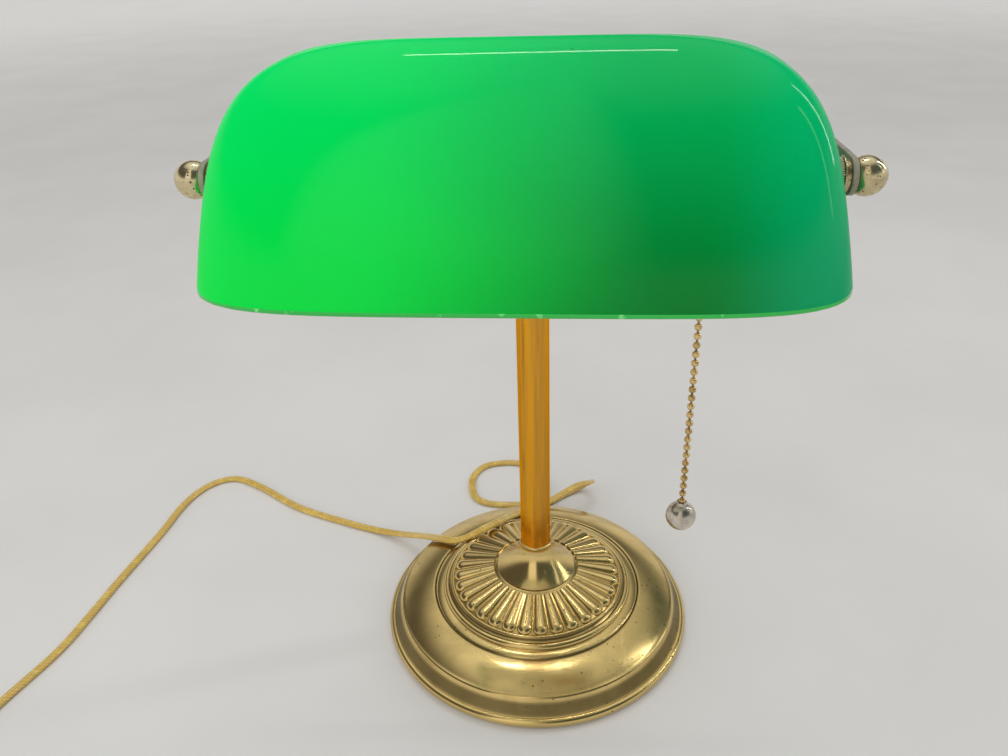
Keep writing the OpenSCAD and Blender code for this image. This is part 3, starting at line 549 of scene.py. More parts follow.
def made_material(name):
    """The finished material of that name, made when it is first asked for."""
    label = f"lamp_{name}"
    if label in bpy.data.materials:
        return bpy.data.materials[label]
    if "lamp_tarnish" not in bpy.data.node_groups:
        tarnish_effect()
        grain_effect()
    brass = bpy.context.scene.lamp_brass
    shade = bpy.context.scene.lamp_shade
    clean, dark = tuple(brass.polished), tuple(brass.tarnished)
    dirt = linear("#3A2E18")
    makers = {
        "brass_base": lambda: metal(name, clean, dark, dirt, 0.14, 26.0, 260.0, 0.16, cover=0.35),
        "brass_stem": lambda: metal(name, tuple(brass.stem), linear("#B88A48"), dirt, 0.13, 200.0, 260.0, 0.12,
                                    cover=0.75, run=0.03, Specular_Tint=(1.0, 0.62, 0.22, 1.0)),
        "brass_finial": lambda: metal(name, linear("#DED0A8"), linear("#AFA076"), linear("#4A3A22"), 0.13, 90.0,
                                      620.0, 0.3, cover=0.6, depth=0.12, strength=0.6),
        # painted light and shade: a lighter copy of the brass for the knurl's teeth, and a dark copy, with some dirt,
        # for the grooves between them
        "brass_knurl": lambda: metal(name, linear("#EDE4CC"), linear("#C4B898"), dirt, 0.3, 120.0, 500.0, 0.05, Metallic=0.6),
        "knurl_grooves": lambda: metal(name, linear("#362C1E"), linear("#241C12"), dirt, 0.6, 120.0, 500.0, 0.2),
        "brass_chain": lambda: metal(name, linear("#E6C98E"), linear("#A98648"), linear("#4A3A22"), 0.16, 200.0,
                                     700.0, 0.16, cover=0.8),
        "brass_socket": lambda: metal(name, linear("#DDBB72"), linear("#A88848"), dirt, 0.2, 60.0, 400.0, 0.14),
        "bronze_yoke": lambda: metal(name, tuple(brass.yoke), [c * 0.7 for c in brass.yoke], linear("#3C342A"), 0.42,
                                     140.0, 900.0, 0.25, cover=0.6, depth=0.1, strength=0.5, Metallic=0.15),
        "zinc_steel": lambda: metal(name, linear("#C9CCCB"), linear("#8F9495"), linear("#5B5145"), 0.3, 80.0, 500.0,
                                    0.18),
        "nickel_ball": lambda: metal(name, linear("#DAD3C6"), linear("#9C9284"), linear("#5A4E3E"), 0.17, 130.0,
                                     520.0, 0.22, cover=0.8, depth=0.08),
        "bulb_aluminium": lambda: metal(name, linear("#D5D7D8"), linear("#A9ACAE"), linear("#6A6A68"), 0.32, 90.0),
        "cast_iron": lambda: moulded(name, linear("#3B3A38"), 0.6, 420.0, 0.3, 0.6, Metallic=0.6),
        "black_rubber": lambda: moulded(name, linear("#1C1B1A"), 0.55, 1100.0, 0.03, 0.4),
        "black_plastic": lambda: moulded(name, linear("#171716"), 0.32, 1500.0, 0.02, 0.3),
        "brown_bakelite": lambda: moulded(name, linear("#3A1F14"), 0.28, 700.0, 0.02, 0.3, 90.0),
        "liner_paper": lambda: moulded(name, linear("#B49A6E"), 0.85, 1300.0, 0.06, 0.5, 120.0),
        "green_felt": green_felt,
        "opal_bulb": opal_bulb,
        "green_glass": lambda: shade_glass(shade),
        "white_lining": lambda: shade_lining(shade),
        "green_edge": lambda: shade_edge(shade),
        "gold_cord": lambda: cord_gold(bpy.context.scene.lamp_cord),
    }
    material = makers[name]()
    material.name = label
    return material


# ---------------------------------------------------------------- geometry node trees

def repeat_tree(name, inputs):
    """A geometry node tree that adds repeated shapes to the mesh it gets: its tree, its inputs and its end."""
    tree = bpy.data.node_groups.new(name, "GeometryNodeTree")
    tree.interface.new_socket("Geometry", in_out="INPUT", socket_type="NodeSocketGeometry")
    for label, kind in inputs:
        tree.interface.new_socket(label, in_out="INPUT", socket_type=kind)
    tree.interface.new_socket("Material", in_out="INPUT", socket_type="NodeSocketMaterial")
    tree.interface.new_socket("Geometry", in_out="OUTPUT", socket_type="NodeSocketGeometry")
    start = tree.nodes.new("NodeGroupInput")
    end = tree.nodes.new("NodeGroupOutput")
    return Tree(tree), start.outputs, end.inputs


def close_tree(t, given, end, *parts):
    """Joins the repeated shapes to the mesh, as real faces with their material."""
    both = t.node("GeometryNodeJoinGeometry")
    for part in (given["Geometry"], *parts):
        t.tree.links.new(part, both.inputs[0])
    real = t.node("GeometryNodeRealizeInstances", {"Geometry": both.outputs[0]})
    even = t.node("GeometryNodeSetShadeSmooth", {"Geometry": real.outputs[0], "Shade Smooth": True})
    faced = t.node("GeometryNodeSetMaterial", {"Geometry": even.outputs[0], "Material": given["Material"]})
    t.give(end["Geometry"], faced.outputs[0])


def turned_copies(t, shape, count, start, axis):
    """Copies of a shape turned evenly about a point, round the X axis (0) or the Z axis (2)."""
    line = t.node("GeometryNodeMeshLine", {"Count": count, "Start Location": start, "Offset": (0.0, 0.0, 0.0)})
    index = t.node("GeometryNodeInputIndex").outputs[0]
    turn = t.math("MULTIPLY", t.math("DIVIDE", t.math("ADD", index, 0.5), count), math.tau)
    angles = t.node("ShaderNodeCombineXYZ", {axis: turn}).outputs[0]
    rotation = t.node("FunctionNodeEulerToRotation", {0: angles}).outputs[0]
    return t.node("GeometryNodeInstanceOnPoints", {
        "Points": line.outputs[0], "Instance": shape, "Rotation": rotation,
    }).outputs[0]


def flutes_tree():
    """Flutes round the base: lobes that widen outwards and end in a round nose."""
    t, given, end = repeat_tree("lamp_flutes", [
        ("Flutes", "NodeSocketInt"), ("Start Radius", "NodeSocketFloat"), ("Start Height", "NodeSocketFloat"),
        ("End Radius", "NodeSocketFloat"), ("End Height", "NodeSocketFloat"),
        ("Narrow", "NodeSocketFloat"), ("Wide", "NodeSocketFloat"), ("Flatness", "NodeSocketFloat"),
    ])
    ends = [
        t.node("ShaderNodeCombineXYZ", {0: given[f"{label} Radius"], 2: given[f"{label} Height"]}).outputs[0]
        for label in ("Start", "End")
    ]
    line = t.node("GeometryNodeCurvePrimitiveLine", {"Start": ends[0], "End": ends[1]}).outputs[0]
    line = t.node("GeometryNodeResampleCurve", {"Curve": line, "Count": 26}).outputs[0]
    share = t.node("GeometryNodeSplineParameter").outputs["Factor"]
    run = t.node("ShaderNodeVectorMath", {0: ends[0], 1: ends[1]}, operation="DISTANCE").outputs["Value"]
    nose = t.math("SUBTRACT", 1.0, t.math("DIVIDE", given["Wide"], run))
    widen = t.math("MINIMUM", t.math("DIVIDE", share, nose), 1.0)
    width = t.math("MULTIPLY_ADD", widen, t.math("SUBTRACT", given["Wide"], given["Narrow"]), given["Narrow"])
    past = t.math("DIVIDE", t.math("MAXIMUM", t.math("SUBTRACT", share, nose), 0.0), t.math("SUBTRACT", 1.0, nose))
    round_off = t.math("SQRT", t.math("MAXIMUM", t.math("SUBTRACT", 1.0, t.math("MULTIPLY", past, past)), 0.001))
    ring = t.node("GeometryNodeCurvePrimitiveCircle", {"Resolution": 24, "Radius": 1.0}).outputs[0]
    flat = t.node("ShaderNodeCombineXYZ", {0: 1.0, 1: given["Flatness"], 2: 1.0}).outputs[0]
    ring = t.node("GeometryNodeTransform", {"Geometry": ring, "Scale": flat}).outputs[0]
    lobe = t.node("GeometryNodeCurveToMesh", {
        "Curve": line, "Profile Curve": ring, "Scale": t.math("MULTIPLY", width, round_off), "Fill Caps": True,
    }).outputs[0]
    close_tree(t, given, end, turned_copies(t, lobe, given["Flutes"], (0.0, 0.0, 0.0), 2))
    return t.tree


def knurl_tree():
    """Fine teeth round the two knurled nuts, along the shade's axis."""
    t, given, end = repeat_tree("lamp_knurling", [
        ("Teeth", "NodeSocketInt"), ("Core Radius", "NodeSocketFloat"), ("Tooth", "NodeSocketFloat"),
        ("Middle", "NodeSocketFloat"), ("Length", "NodeSocketFloat"),
    ])
    rod = t.node("GeometryNodeMeshCylinder", {"Vertices": 4, "Radius": given["Tooth"], "Depth": given["Length"]})
    lift = t.node("ShaderNodeCombineXYZ", {2: given["Core Radius"]}).outputs[0]
    tooth = t.node("GeometryNodeTransform", {
        "Geometry": rod.outputs["Mesh"], "Translation": lift, "Rotation": (0.0, math.pi / 2, 0.0),
    }).outputs[0]
    sets = []
    for side in (1.0, -1.0):
        start = t.node("ShaderNodeCombineXYZ", {
            0: t.math("MULTIPLY", given["Middle"], side), 1: AXIS.y * MM, 2: AXIS.z * MM,
        }).outputs[0]
        sets.append(turned_copies(t, tooth, given["Teeth"], start, 0))
    close_tree(t, given, end, *sets)
    return t.tree


def chain_tree():
    """A bead chain that hangs straight down: hollow beads on short pins."""
    t, given, end = repeat_tree("lamp_bead_chain", [
        ("Beads", "NodeSocketInt"), ("Pitch", "NodeSocketFloat"), ("Bead Radius", "NodeSocketFloat"),
        ("Pin Radius", "NodeSocketFloat"), ("First Bead", "NodeSocketVector"),
    ])
    step = t.node("ShaderNodeCombineXYZ", {2: t.math("MULTIPLY", given["Pitch"], -1.0)}).outputs[0]
    line = t.node("GeometryNodeMeshLine", {
        "Count": given["Beads"], "Start Location": given["First Bead"], "Offset": step,
    }).outputs[0]
    ball = t.node("GeometryNodeMeshUVSphere", {"Segments": 20, "Rings": 12, "Radius": given["Bead Radius"]})
    pin = t.node("GeometryNodeMeshCylinder", {
        "Vertices": 10, "Radius": given["Pin Radius"], "Depth": t.math("MULTIPLY", given["Pitch"], 0.6),
    })
    lift = t.node("ShaderNodeCombineXYZ", {2: t.math("MULTIPLY", given["Pitch"], 0.5)}).outputs[0]
    pin = t.node("GeometryNodeTransform", {"Geometry": pin.outputs["Mesh"], "Translation": lift})
    copies = [
        t.node("GeometryNodeInstanceOnPoints", {"Points": line, "Instance": shape.outputs[0]}).outputs[0]
        for shape in (ball, pin)
    ]
    close_tree(t, given, end, *copies)
    return t.tree


def repeated(piece, tree, values, sharp=40):
    """Runs a geometry node tree on a piece and keeps its result as a plain mesh."""
    modifier = piece.modifiers.new(tree.name, "NODES")
    modifier.node_group = tree
    sockets = {s.name: s.identifier for s in tree.interface.items_tree if s.in_out == "INPUT"}
    for label, value in values.items():
        modifier[sockets[label]] = value
    settled(piece)
    piece.data.set_sharp_from_angle(angle=math.radians(sharp))
    return piece


# ---------------------------------------------------------------- stage

class LAMP_OT_stage(bpy.types.Operator):
    """Makes the floor, the lamps, the pale surroundings and the camera"""

    bl_idname = "lamp.stage"
    bl_label = "Stage"

    def execute(self, context):
        scene = context.scene
        scene.view_settings.view_transform = "Standard"
        self.make_camera(scene)
        self.make_floor(scene)
        self.make_surroundings(scene)
        for name, place, size, power, mirrored in (
            ("side_panel", (-1.6, -0.95, 1.4), (2.4, 2.4), 15.5, False),
            ("window", (1.22, 0.41, 0.99), (0.08, 1.0), 2.3, True),
            ("window_side", (1.28, -0.1, 0.99), (0.04, 1.0), 0.5, True),
            ("skylight", (-0.03, 0.41, 1.475), (0.5, 0.03), 1.0, True),
            ("front_panel", (-0.3, -1.25, 1.45), (0.9, 0.9), 3.0, False),
            ("low_panel", (-0.1, -1.8, 0.6), (1.2, 0.6), 3.5, False),
            ("top_panel", (0.1, 0.3, 2.2), (2.0, 2.0), 8.0, False),
        ):
            self.make_lamp(scene, name, place, size, power, mirrored)
        return {"FINISHED"}

    def make_camera(self, scene):
        data = bpy.data.cameras.new("camera")
        data.sensor_width, data.lens = 36.0, 36.0 * 850 / 1008
        data.clip_start, data.clip_end = 0.01, 50.0
        camera = bpy.data.objects.new("camera", data)
        right, up = Vector((0.9967, 0.076, -0.0289)), Vector((-0.0128, 0.4975, 0.8674))
        turn = Matrix((right, up, right.cross(up))).transposed()
        camera.matrix_world = Matrix.Translation((0.0205, -0.3874, 0.38655)) @ turn.to_4x4()
        scene.collection.objects.link(camera)
        scene.camera = camera

    def make_floor(self, scene):
        p = Paint("pale_floor", Emission_Strength=1.0)
        sheen = p.ramp(p.noise(p.place, 6.0, 4.0), 0.3, 0.7)
        away = p.node("ShaderNodeVectorMath", {0: p.place}, operation="LENGTH").outputs["Value"]
        rays = p.node("ShaderNodeLightPath").outputs
        lift = p.math("MULTIPLY", p.ramp(away, 0.8, 4.0), p.math("MAXIMUM", rays["Is Camera Ray"], rays["Is Glossy Ray"]))
        p.give(p.shader.inputs["Emission Color"], p.mix(lift, (0.0, 0.0, 0.0), (0.28, 0.28, 0.27)))
        p.coat(p.mix(sheen, linear("#E3E1DC"), linear("#DEDCD7")), p.math("MULTIPLY_ADD", sheen, 0.05, 0.55))
        points = [(x * 9000.0, y * 9000.0, 0.0) for x, y in ((-1, -1), (1, -1), (1, 1), (-1, 1))]
        mesh = bpy.data.meshes.new("floor")
        mesh.from_pydata([tuple(c * MM for c in q) for q in points], [], [(0, 1, 2, 3)])
        mesh.materials.append(p.material)
        floor = bpy.data.objects.new("floor", mesh)
        scene.collection.objects.link(floor)

    def make_surroundings(self, scene):
        world = bpy.data.worlds.new("surroundings")
        world.use_nodes = True
        scene.world = world
        t = Tree(world.node_tree)
        sky = world.node_tree.nodes["Background"]
        rays = t.node("ShaderNodeLightPath").outputs
        seen = t.math("MAXIMUM", t.math("MAXIMUM", rays["Is Camera Ray"], rays["Is Glossy Ray"]),
                      rays["Is Transmission Ray"])
        way = t.node("ShaderNodeTexCoord").outputs["Generated"]
        up = t.node("ShaderNodeSeparateXYZ", {0: way}).outputs[2]
        belt = t.mix(t.ramp(t.node("ShaderNodeSeparateXYZ", {0: way}).outputs[0], 0.0, 0.7), linear("#5E5C5A"),
                     linear("#566464"))
        backdrop = t.mix(t.ramp(up, 0.2, 0.48), linear("#E0DEDA"), belt)
        above = t.node("ShaderNodeVectorMath", {0: way, 1: (0.0, 0.33, 0.944)}, operation="DOT_PRODUCT").outputs["Value"]
        backdrop = t.mix(t.ramp(above, 0.72, 0.97), backdrop, linear("#F6F6F2"))
        level = t.node("ShaderNodeVectorMath", {0: way, 1: (1.0, 1.0, 0.0)}, operation="MULTIPLY").outputs[0]
        level = t.node("ShaderNodeVectorMath", {0: level}, operation="NORMALIZE").outputs[0]
        front = t.node("ShaderNodeVectorMath", {0: level, 1: (-0.24, -0.97, 0.0)}, operation="DOT_PRODUCT")
        glow = t.math("MULTIPLY", t.ramp(front.outputs["Value"], 0.92, 0.975), t.ramp(up, 0.1, 0.5))
        backdrop = t.mix(glow, backdrop, (1.0, 0.96, 0.88))
        t.give(sky.inputs["Color"], t.mix(seen, (0.42, 0.42, 0.43), backdrop))

    def make_lamp(self, scene, name, place, size, power, mirrored):
        data = bpy.data.lights.new(name, "AREA")
        data.shape, data.size, data.size_y, data.energy = "RECTANGLE", *size, power
        lamp = bpy.data.objects.new(name, data)
        lamp.visible_glossy = mirrored
        aim = Vector((0.0, -0.03, 0.2)) - Vector(place)
        lamp.matrix_world = Matrix.Translation(place) @ aim.to_track_quat("-Z", "Y").to_matrix().to_4x4()
        scene.collection.objects.link(lamp)


# ---------------------------------------------------------------- supply cord

# The route's points, as the packed part's source has them
CORD_ROUTE = [
    (0, 106, 10), (0, 116, 8), (-2, 130, 3), (-9, 143, 1.5), (-20, 150, 1.5),
    (-34, 150, 1.5), (-46, 145, 1.5), (-53, 133, 1.5), (-53, 118, 1.5), (-48, 105, 1.5),
    (-36, 99, 1.5), (-17, 99, 1.5), (2, 101, 1.5), (13, 110, 1.5), (24, 118, 2.5),
    (32, 118, 7.5), (35, 112, 14), (32, 104, 18.5), (24, 98, 20), (6, 81, 19.6),
    (-14, 61, 24.6), (-31, 37, 33.2), (-46, 31.5, 27.2), (-55, 31, 24.8), (-65, 37, 21.4),
    (-80, 48, 13.5), (-96, 58, 6), (-114, 66, 2), (-135, 73, 1.5), (-176, 89, 1.5),
    (-212, 112, 1.5), (-236, 122, 1.5), (-253, 113, 1.5), (-263, 91, 1.5), (-267, 55, 1.5),
    (-274, 10, 1.5), (-278, -22, 1.5), (-283, -52, 1.5), (-296, -90, 1.5), (-301, -112, 1.8),
]
COIL = {"x": -336.0, "y": -134.0, "out": 35.1125, "turns": 5.5, "pitch": 5.9, "lift": 2.0, "layer": 3.3}


def coil_points(steps):
    """The coil winds inwards, climbs a layer while the spiral turns back, and winds outwards again."""
    made = []
    for i in range(int(COIL["turns"] * steps) + 1):
        n, half = i / steps, COIL["turns"] / 2
        r = COIL["out"] - COIL["pitch"] * (half - abs(n - half))
        z = COIL["lift"] + COIL["layer"] * smooth(n, half - 0.25, half + 0.25)
        made.append((COIL["x"] + r * math.cos(-math.tau * n), COIL["y"] + r * math.sin(-math.tau * n), z))
    return made


def cord_path(lead_y):
    """Centreline of the whole cord: the route, the coil and the lead into the plug."""
    start = (COIL["x"] + COIL["out"], COIL["y"] + lead_y, COIL["lift"])
    finish = (COIL["x"] - COIL["out"], COIL["y"] + lead_y, COIL["lift"] + COIL["layer"])
    route = catmull([*CORD_ROUTE, start], 7)
    return [*route, *(Vector(p) for p in coil_points(40)), Vector(finish)]


def flat_sides(path):
    """Which way the flat side faces along the cord: it is carried along and eased back to level."""
    ups, up = [], Vector((0, 0, 1))
    for i in range(len(path)):
        t = (path[min(i + 1, len(path) - 1)] - path[max(i - 1, 0)]).normalized()
        up = (up - t * up.dot(t)).normalized()
        level = Vector((0, 0, 1 if up.z >= 0 else -1))
        level -= t * level.dot(t)
        if level.length > 0.5:
            up = up.lerp(level.normalized(), 0.3).normalized()
        ups.append((t, up))
    return ups


def twin_outline(width, thickness, count):
    """Outline of a flat twin cord: two round cores joined by a web, with a groove on each flat side."""
    made = []
    web = thickness * 0.33
    for k in range(count):
        q = math.tau * (k + 0.5) / count
        lobes = (width - thickness) * abs(math.cos(q))
        c = (width - thickness) / 2
        inside = (thickness / 2) ** 2 - (c * math.sin(q)) ** 2
        round_core = c * abs(math.cos(q)) + math.sqrt(max(0.0, inside)) if inside > 0 else lobes / 2
        reach = max(round_core, min(web / max(abs(math.sin(q)), 1e-6), thickness / 2))
        made.append((reach * math.cos(q), reach * math.sin(q)))
    return made


class LAMP_OT_cord(bpy.types.Operator):
    """Makes the flat twin cord over its route and in its coil, with its tie, strain relief and plug"""

    bl_idname = "lamp.cord"
    bl_label = "Cord and plug"

    def execute(self, context):
        settings = context.scene.lamp_cord
        path = cord_path(settings.width / MM)
        cord = self.make_tube(settings, path)
        tie = self.make_tie()
        relief = self.make_relief()
        plug, blades = self.make_plug()
        return {"FINISHED"}

    def make_tube(self, settings, path):
        outline = twin_outline(settings.width / MM, settings.thickness / MM, 20)
        count = len(outline)
        points, faces = [], []
        for p, (t, up) in zip(path, flat_sides(path)):
            side = t.cross(up)
            points += [p + side * a + up * b for a, b in outline]
        for i in range(len(path) - 1):
            for k in range(count):
                on = (k + 1) % count
                faces.append((i * count + k, i * count + on, (i + 1) * count + on, (i + 1) * count + k))
        faces += [list(range(count)), [(len(path) - 1) * count + k for k in reversed(range(count))]]
        cord = new_mesh("supply_cord", (points, faces), [made_material("gold_cord")], 60)
        self.lay_uv(cord.data, path, count)
        return finished(cord, "stand", "gold_cord", "cord", "cord_coil")

    def lay_uv(self, mesh, path, count):
        """Lays a UV map along the cord, in metres along it and in turns round it."""
        run = [0.0]
        for a, b in zip(path, path[1:]):
            run.append(run[-1] + (b - a).length * MM)
        layer = mesh.uv_layers.new(name="along")
        for face in mesh.polygons:
            ks = [mesh.loops[i].vertex_index % count for i in face.loop_indices]
            wraps = max(ks) - min(ks) > 2 and len(ks) == 4
            for i, k in zip(face.loop_indices, ks):
                ring = mesh.loops[i].vertex_index // count
                round_it = (k + count if wraps and k == 0 else k) / count
                layer.data[i].uv = (run[ring], round_it * 0.0125)

    def make_tie(self):
        low, high = span("coil_tie")
        x, y, z = (low + high) / 2
        half_y, half_z, t, r = (high.y - low.y) / 2, (high.z - low.z) / 2, 0.5, 1.6
        across = [(-half_y, -half_z), (half_y, -half_z), (half_y, half_z), (-half_y, half_z)]
        outer = eased(across, r, True)
        inner = eased([(a - math.copysign(t, a), b - math.copysign(t, b)) for a, b in across], r - 0.3, True)
        points, faces = [], []
        count = len(outer)
        wide = (high.x - low.x) / 2
        for shift, loop in ((-wide, outer), (wide, outer), (wide, inner), (-wide, inner)):
            points += [(x + shift, y + a, z + b) for a, b in loop]
        for row in range(4):
            for k in range(count):
                on = (k + 1) % count
                nxt = (row + 1) % 4
                faces.append((row * count + k, row * count + on, nxt * count + on, nxt * count + k))
        tie = new_mesh("cord_tie", (points, faces), [made_material("black_plastic")], 50)
        return finished(tie, "stand", "black_plastic", "coil_tie")

    def make_relief(self):
        low, high = span("strain_relief")
        height = (low.z + high.z) / 2
        seat = BASE_R + 0.2
        big, small = 3.8, 2.95
        profile = [(0, low.y), (big, low.y), (big, seat), (big + 1.4, seat), (big + 1.4, seat + 1.4)]
        rings = 7
        start = seat + 2.4
        for i in range(rings):
            y = start + (high.y - 1 - start) * i / rings
            step = (high.y - 1 - start) / rings
            r = big + (small - big) * (i + 0.5) / rings
            profile += [(r - 0.55, y), (r - 0.55, y + 0.32 * step), (r, y + 0.42 * step), (r, y + 0.95 * step)]
        profile += [(small, high.y - 0.8), (small, high.y), (0, high.y)]
        points, faces = turned(eased(profile, 0.18), 40)
        points = [(a, z, height + b) for a, b, z in points]
        relief = new_mesh("strain_relief_boot", (points, faces), [made_material("black_rubber")])
        return finished(relief, "stand", "black_rubber", "strain_relief")

    def make_plug(self):
        low, high = span("plug_body")
        x, half, tall = (low.x + high.x) / 2, (high.x - low.x) / 2, high.z - low.z
        stations = [(0, 5.0, 0.42), (1.2, 5.2, 0.5), (4, 5.4, 0.56), (7.5, 7.6, 0.72), (11, half - 0.6, 0.9), (14, half, 1.0),
                    (17, half - 0.5, 0.93), (20, half - 0.5, 0.93), (23, half, 1.0), (29, half, 1.0), (32.4, half - 0.4, 0.97),
                    (33.6, half - 1.6, 0.88), (34, half - 2.6, 0.8)]
        points, faces = [], []
        count = 32
        for run, wide, thick in stations:
            for k in range(count):
                q = math.tau * (k + 0.5) / count
                c, s = math.cos(q), math.sin(q)
                points.append((
                    x + wide * math.copysign(abs(c) ** 0.5, c), low.y + run,
                    low.z + tall / 2 + tall / 2 * thick * math.copysign(abs(s) ** 0.62, s),
                ))
        for i in range(len(stations) - 1):
            for k in range(count):
                on = (k + 1) % count
                faces.append((i * count + k, i * count + on, (i + 1) * count + on, (i + 1) * count + k))
        faces += [list(range(count)), [(len(stations) - 1) * count + k for k in reversed(range(count))]]
        plug = new_mesh("plug", (points, faces), [made_material("black_plastic")], 50)
        finished(plug, "stand", "black_plastic", "plug_body")
        dressed(made_material("brass_chain"), "plug_blades")
        return plug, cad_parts["plug_blades"]


# ---------------------------------------------------------------- base and stem

class LAMP_OT_base(bpy.types.Operator):
    """Makes the stamped and fluted base cover and finishes the felt, the weight and the parts that hold them"""

    bl_idname = "lamp.base"
    bl_label = "Base"

    field = (24.0, 34.6, 46.6, 29.0)

    def execute(self, context):
        settings = context.scene.lamp_base
        sheet = settings.sheet / MM
        shape = turned(self.outside() + self.underside(sheet), 288, closed=True)
        cover = new_mesh("fluted_cover", shape, [made_material("brass_base")], 38)
        in_r, in_z, out_r, out_z = self.field
        repeated(cover, flutes_tree(), {
            "Flutes": settings.flutes, "Start Radius": (in_r + 1) * MM, "Start Height": (in_z - 0.9) * MM,
            "End Radius": (out_r + 3) * MM, "End Height": (out_z - 2.1) * MM,
            "Narrow": settings.flute_narrow, "Wide": settings.flute_wide, "Flatness": settings.flute_flat,
            "Material": made_material("brass_base"),
        })
        self.shade_and_soil(cover.data, settings.flutes)
        finished(cover, "stand", "antique_brass", "base_cover")
        dressed(made_material("green_felt"), "felt_pad")
        dressed(made_material("cast_iron"), "base_weight")
        dressed(made_material("zinc_steel"), "base_washer", "base_nut", "lamp_pipe")
        return {"FINISHED"}

    def outside(self):
        """Top side of the sheet, from the foot of the rim inwards."""
        in_r, in_z, out_r, out_z = self.field
        r = BASE_R
        return [
            *arc(r - 2.6, 3.4, 2.6, -75, 100, 20),
            *[(r - 3.5 - 3.5 * i / 6, 6.9 + 6.1 * i / 6) for i in range(7)], (r - 7.4, 13.6),
            *arc(r - 9.6, 13.8, 1.8, 25, 80, 7),
            *bow((r - 9.4, 15.6), (61.8, 21.6), 0.9, 18),
            (61.35, 21.4), (61.0, 20.9), (60.65, 21.3),
            *bow((60.3, 21.7), (out_r + 9.7, 22.7), 0.2, 6),
            *arc(out_r + 7.3, 23.4, 2.2, -10, 130, 14),
            *arc(out_r + 3.6, out_z - 2.4, 1.5, -40, 150, 14),
            *[(out_r + (in_r - out_r) * i / 12, out_z - 0.4 + (in_z - out_z + 0.4) * i / 12) for i in range(13)],
            (in_r - 0.5, SEAT_Z), (4.9, SEAT_Z),
        ]

    def underside(self, sheet):
        in_r, in_z, out_r, out_z = self.field
        r = BASE_R
        return [
            (4.9, SEAT_Z - sheet), (in_r - 1, SEAT_Z - sheet), (out_r - 0.6, out_z - sheet - 0.3),
            (out_r + 3.6, 23.5 - sheet), (60, 21.6 - sheet - 0.8), (r - 10, 15.6 - sheet - 0.5), (r - 7.8, 12.6),
            (r - 2.4, 4.6), (r - 3.2, 0.8),
        ]

    def shade_and_soil(self, mesh, flutes):
        """Paints shade, with some grime, low on the flutes, in the groove, at the foot of each ring and on the outer
        slope.
        """
        in_r, _, out_r, _ = self.field
        values = []
        for vertex in mesh.vertices:
            x, y, z = vertex.co / MM
            r = math.hypot(x, y)
            turn = (math.atan2(y, x) / math.tau * flutes) % 1.0
            # painted shade on the low sides of the flutes
            gap = smooth(abs(turn - 0.5) * 2, 0.05, 0.45)
            low = smooth(SEAT_Z - (r - in_r) * 0.2 - z, -0.6, 1.8)
            in_field = smooth(r, in_r - 1, in_r + 1) * (1 - smooth(r, out_r + 1.8, out_r + 2.6))
            foot = max(0.0, 1 - abs(r - (out_r + 5.1)) / 0.8)
            groove = max(0.0, 1 - abs(r - 61.0) / 0.7)
            # painted shade: the outer slope is darkened
            slope = smooth(r, 82.4, 83.4) * (1 - smooth(r, 86.4, 86.8))
            values.append(min(1.0, max(in_field * low * (1 - gap) * 0.9, foot * 0.7, groove * 0.85, slope * 0.7)))
        store(mesh, "grime", values)


class LAMP_OT_stem(bpy.types.Operator):
    """Makes the trumpet skirt, the collar and the stem tube and finishes the head of the stem"""

    bl_idname = "lamp.stem"
    bl_label = "Stem"

    def execute(self, context):
        low, high = span("stem_skirt")
        self.make_skirt(low.z, high.z, high.x)
        collar_low, collar_high = span("stem_collar")
        middle_z = (collar_low.z + collar_high.z) / 2
        ring = [(STEM_R, collar_low.z), *arc(STEM_R + 0.1, middle_z, 0.8, -80, 80, 10), (STEM_R, collar_high.z)]
        collar = new_mesh("collar_ring", turned(ring, 72, closed=True), [made_material("brass_base")])
        finished(collar, "stand", "antique_brass", "stem_collar")
        dressed(made_material("brass_stem"), "stem_tube")
        dressed(made_material("brass_base"), "stem_head", "yoke_screw")
        dressed(made_material("zinc_steel"), "stem_bushing")
        dressed(made_material("black_plastic"), "lead_bushing")
        dressed(made_material("gold_cord"), "inner_lead")
        return {"FINISHED"}

    def make_skirt(self, low, high, wide):
        neck = STEM_R + 0.7
        wall = 1.5

        def radius(s):
            return neck + (wide - neck) * (1 - s) ** 1.9

        tall = high - low - 1
        outside = [(radius(i / 40), low + 1 + tall * i / 40) for i in range(41)]
        inside = [(radius(i / 40) - wall, low + (tall - 2) * i / 34) for i in range(35)]
        profile = [(wide, low), *outside, (neck - 0.7, high), (4.9, high), (4.9, high - 2), *reversed(inside)]
        # painted shade, with some grime, along the skirt's foot where it meets the base
        skirt = new_mesh("trumpet_skirt", turned(profile, 96, closed=True), [made_material("brass_base")], 38,
                         grime=lambda p: 0.8 * max(0.0, 1 - (p.z - low) / 1.2))
        finished(skirt, "stand", "antique_brass", "stem_skirt")


# ---------------------------------------------------------------- shade, its hardware and the yoke

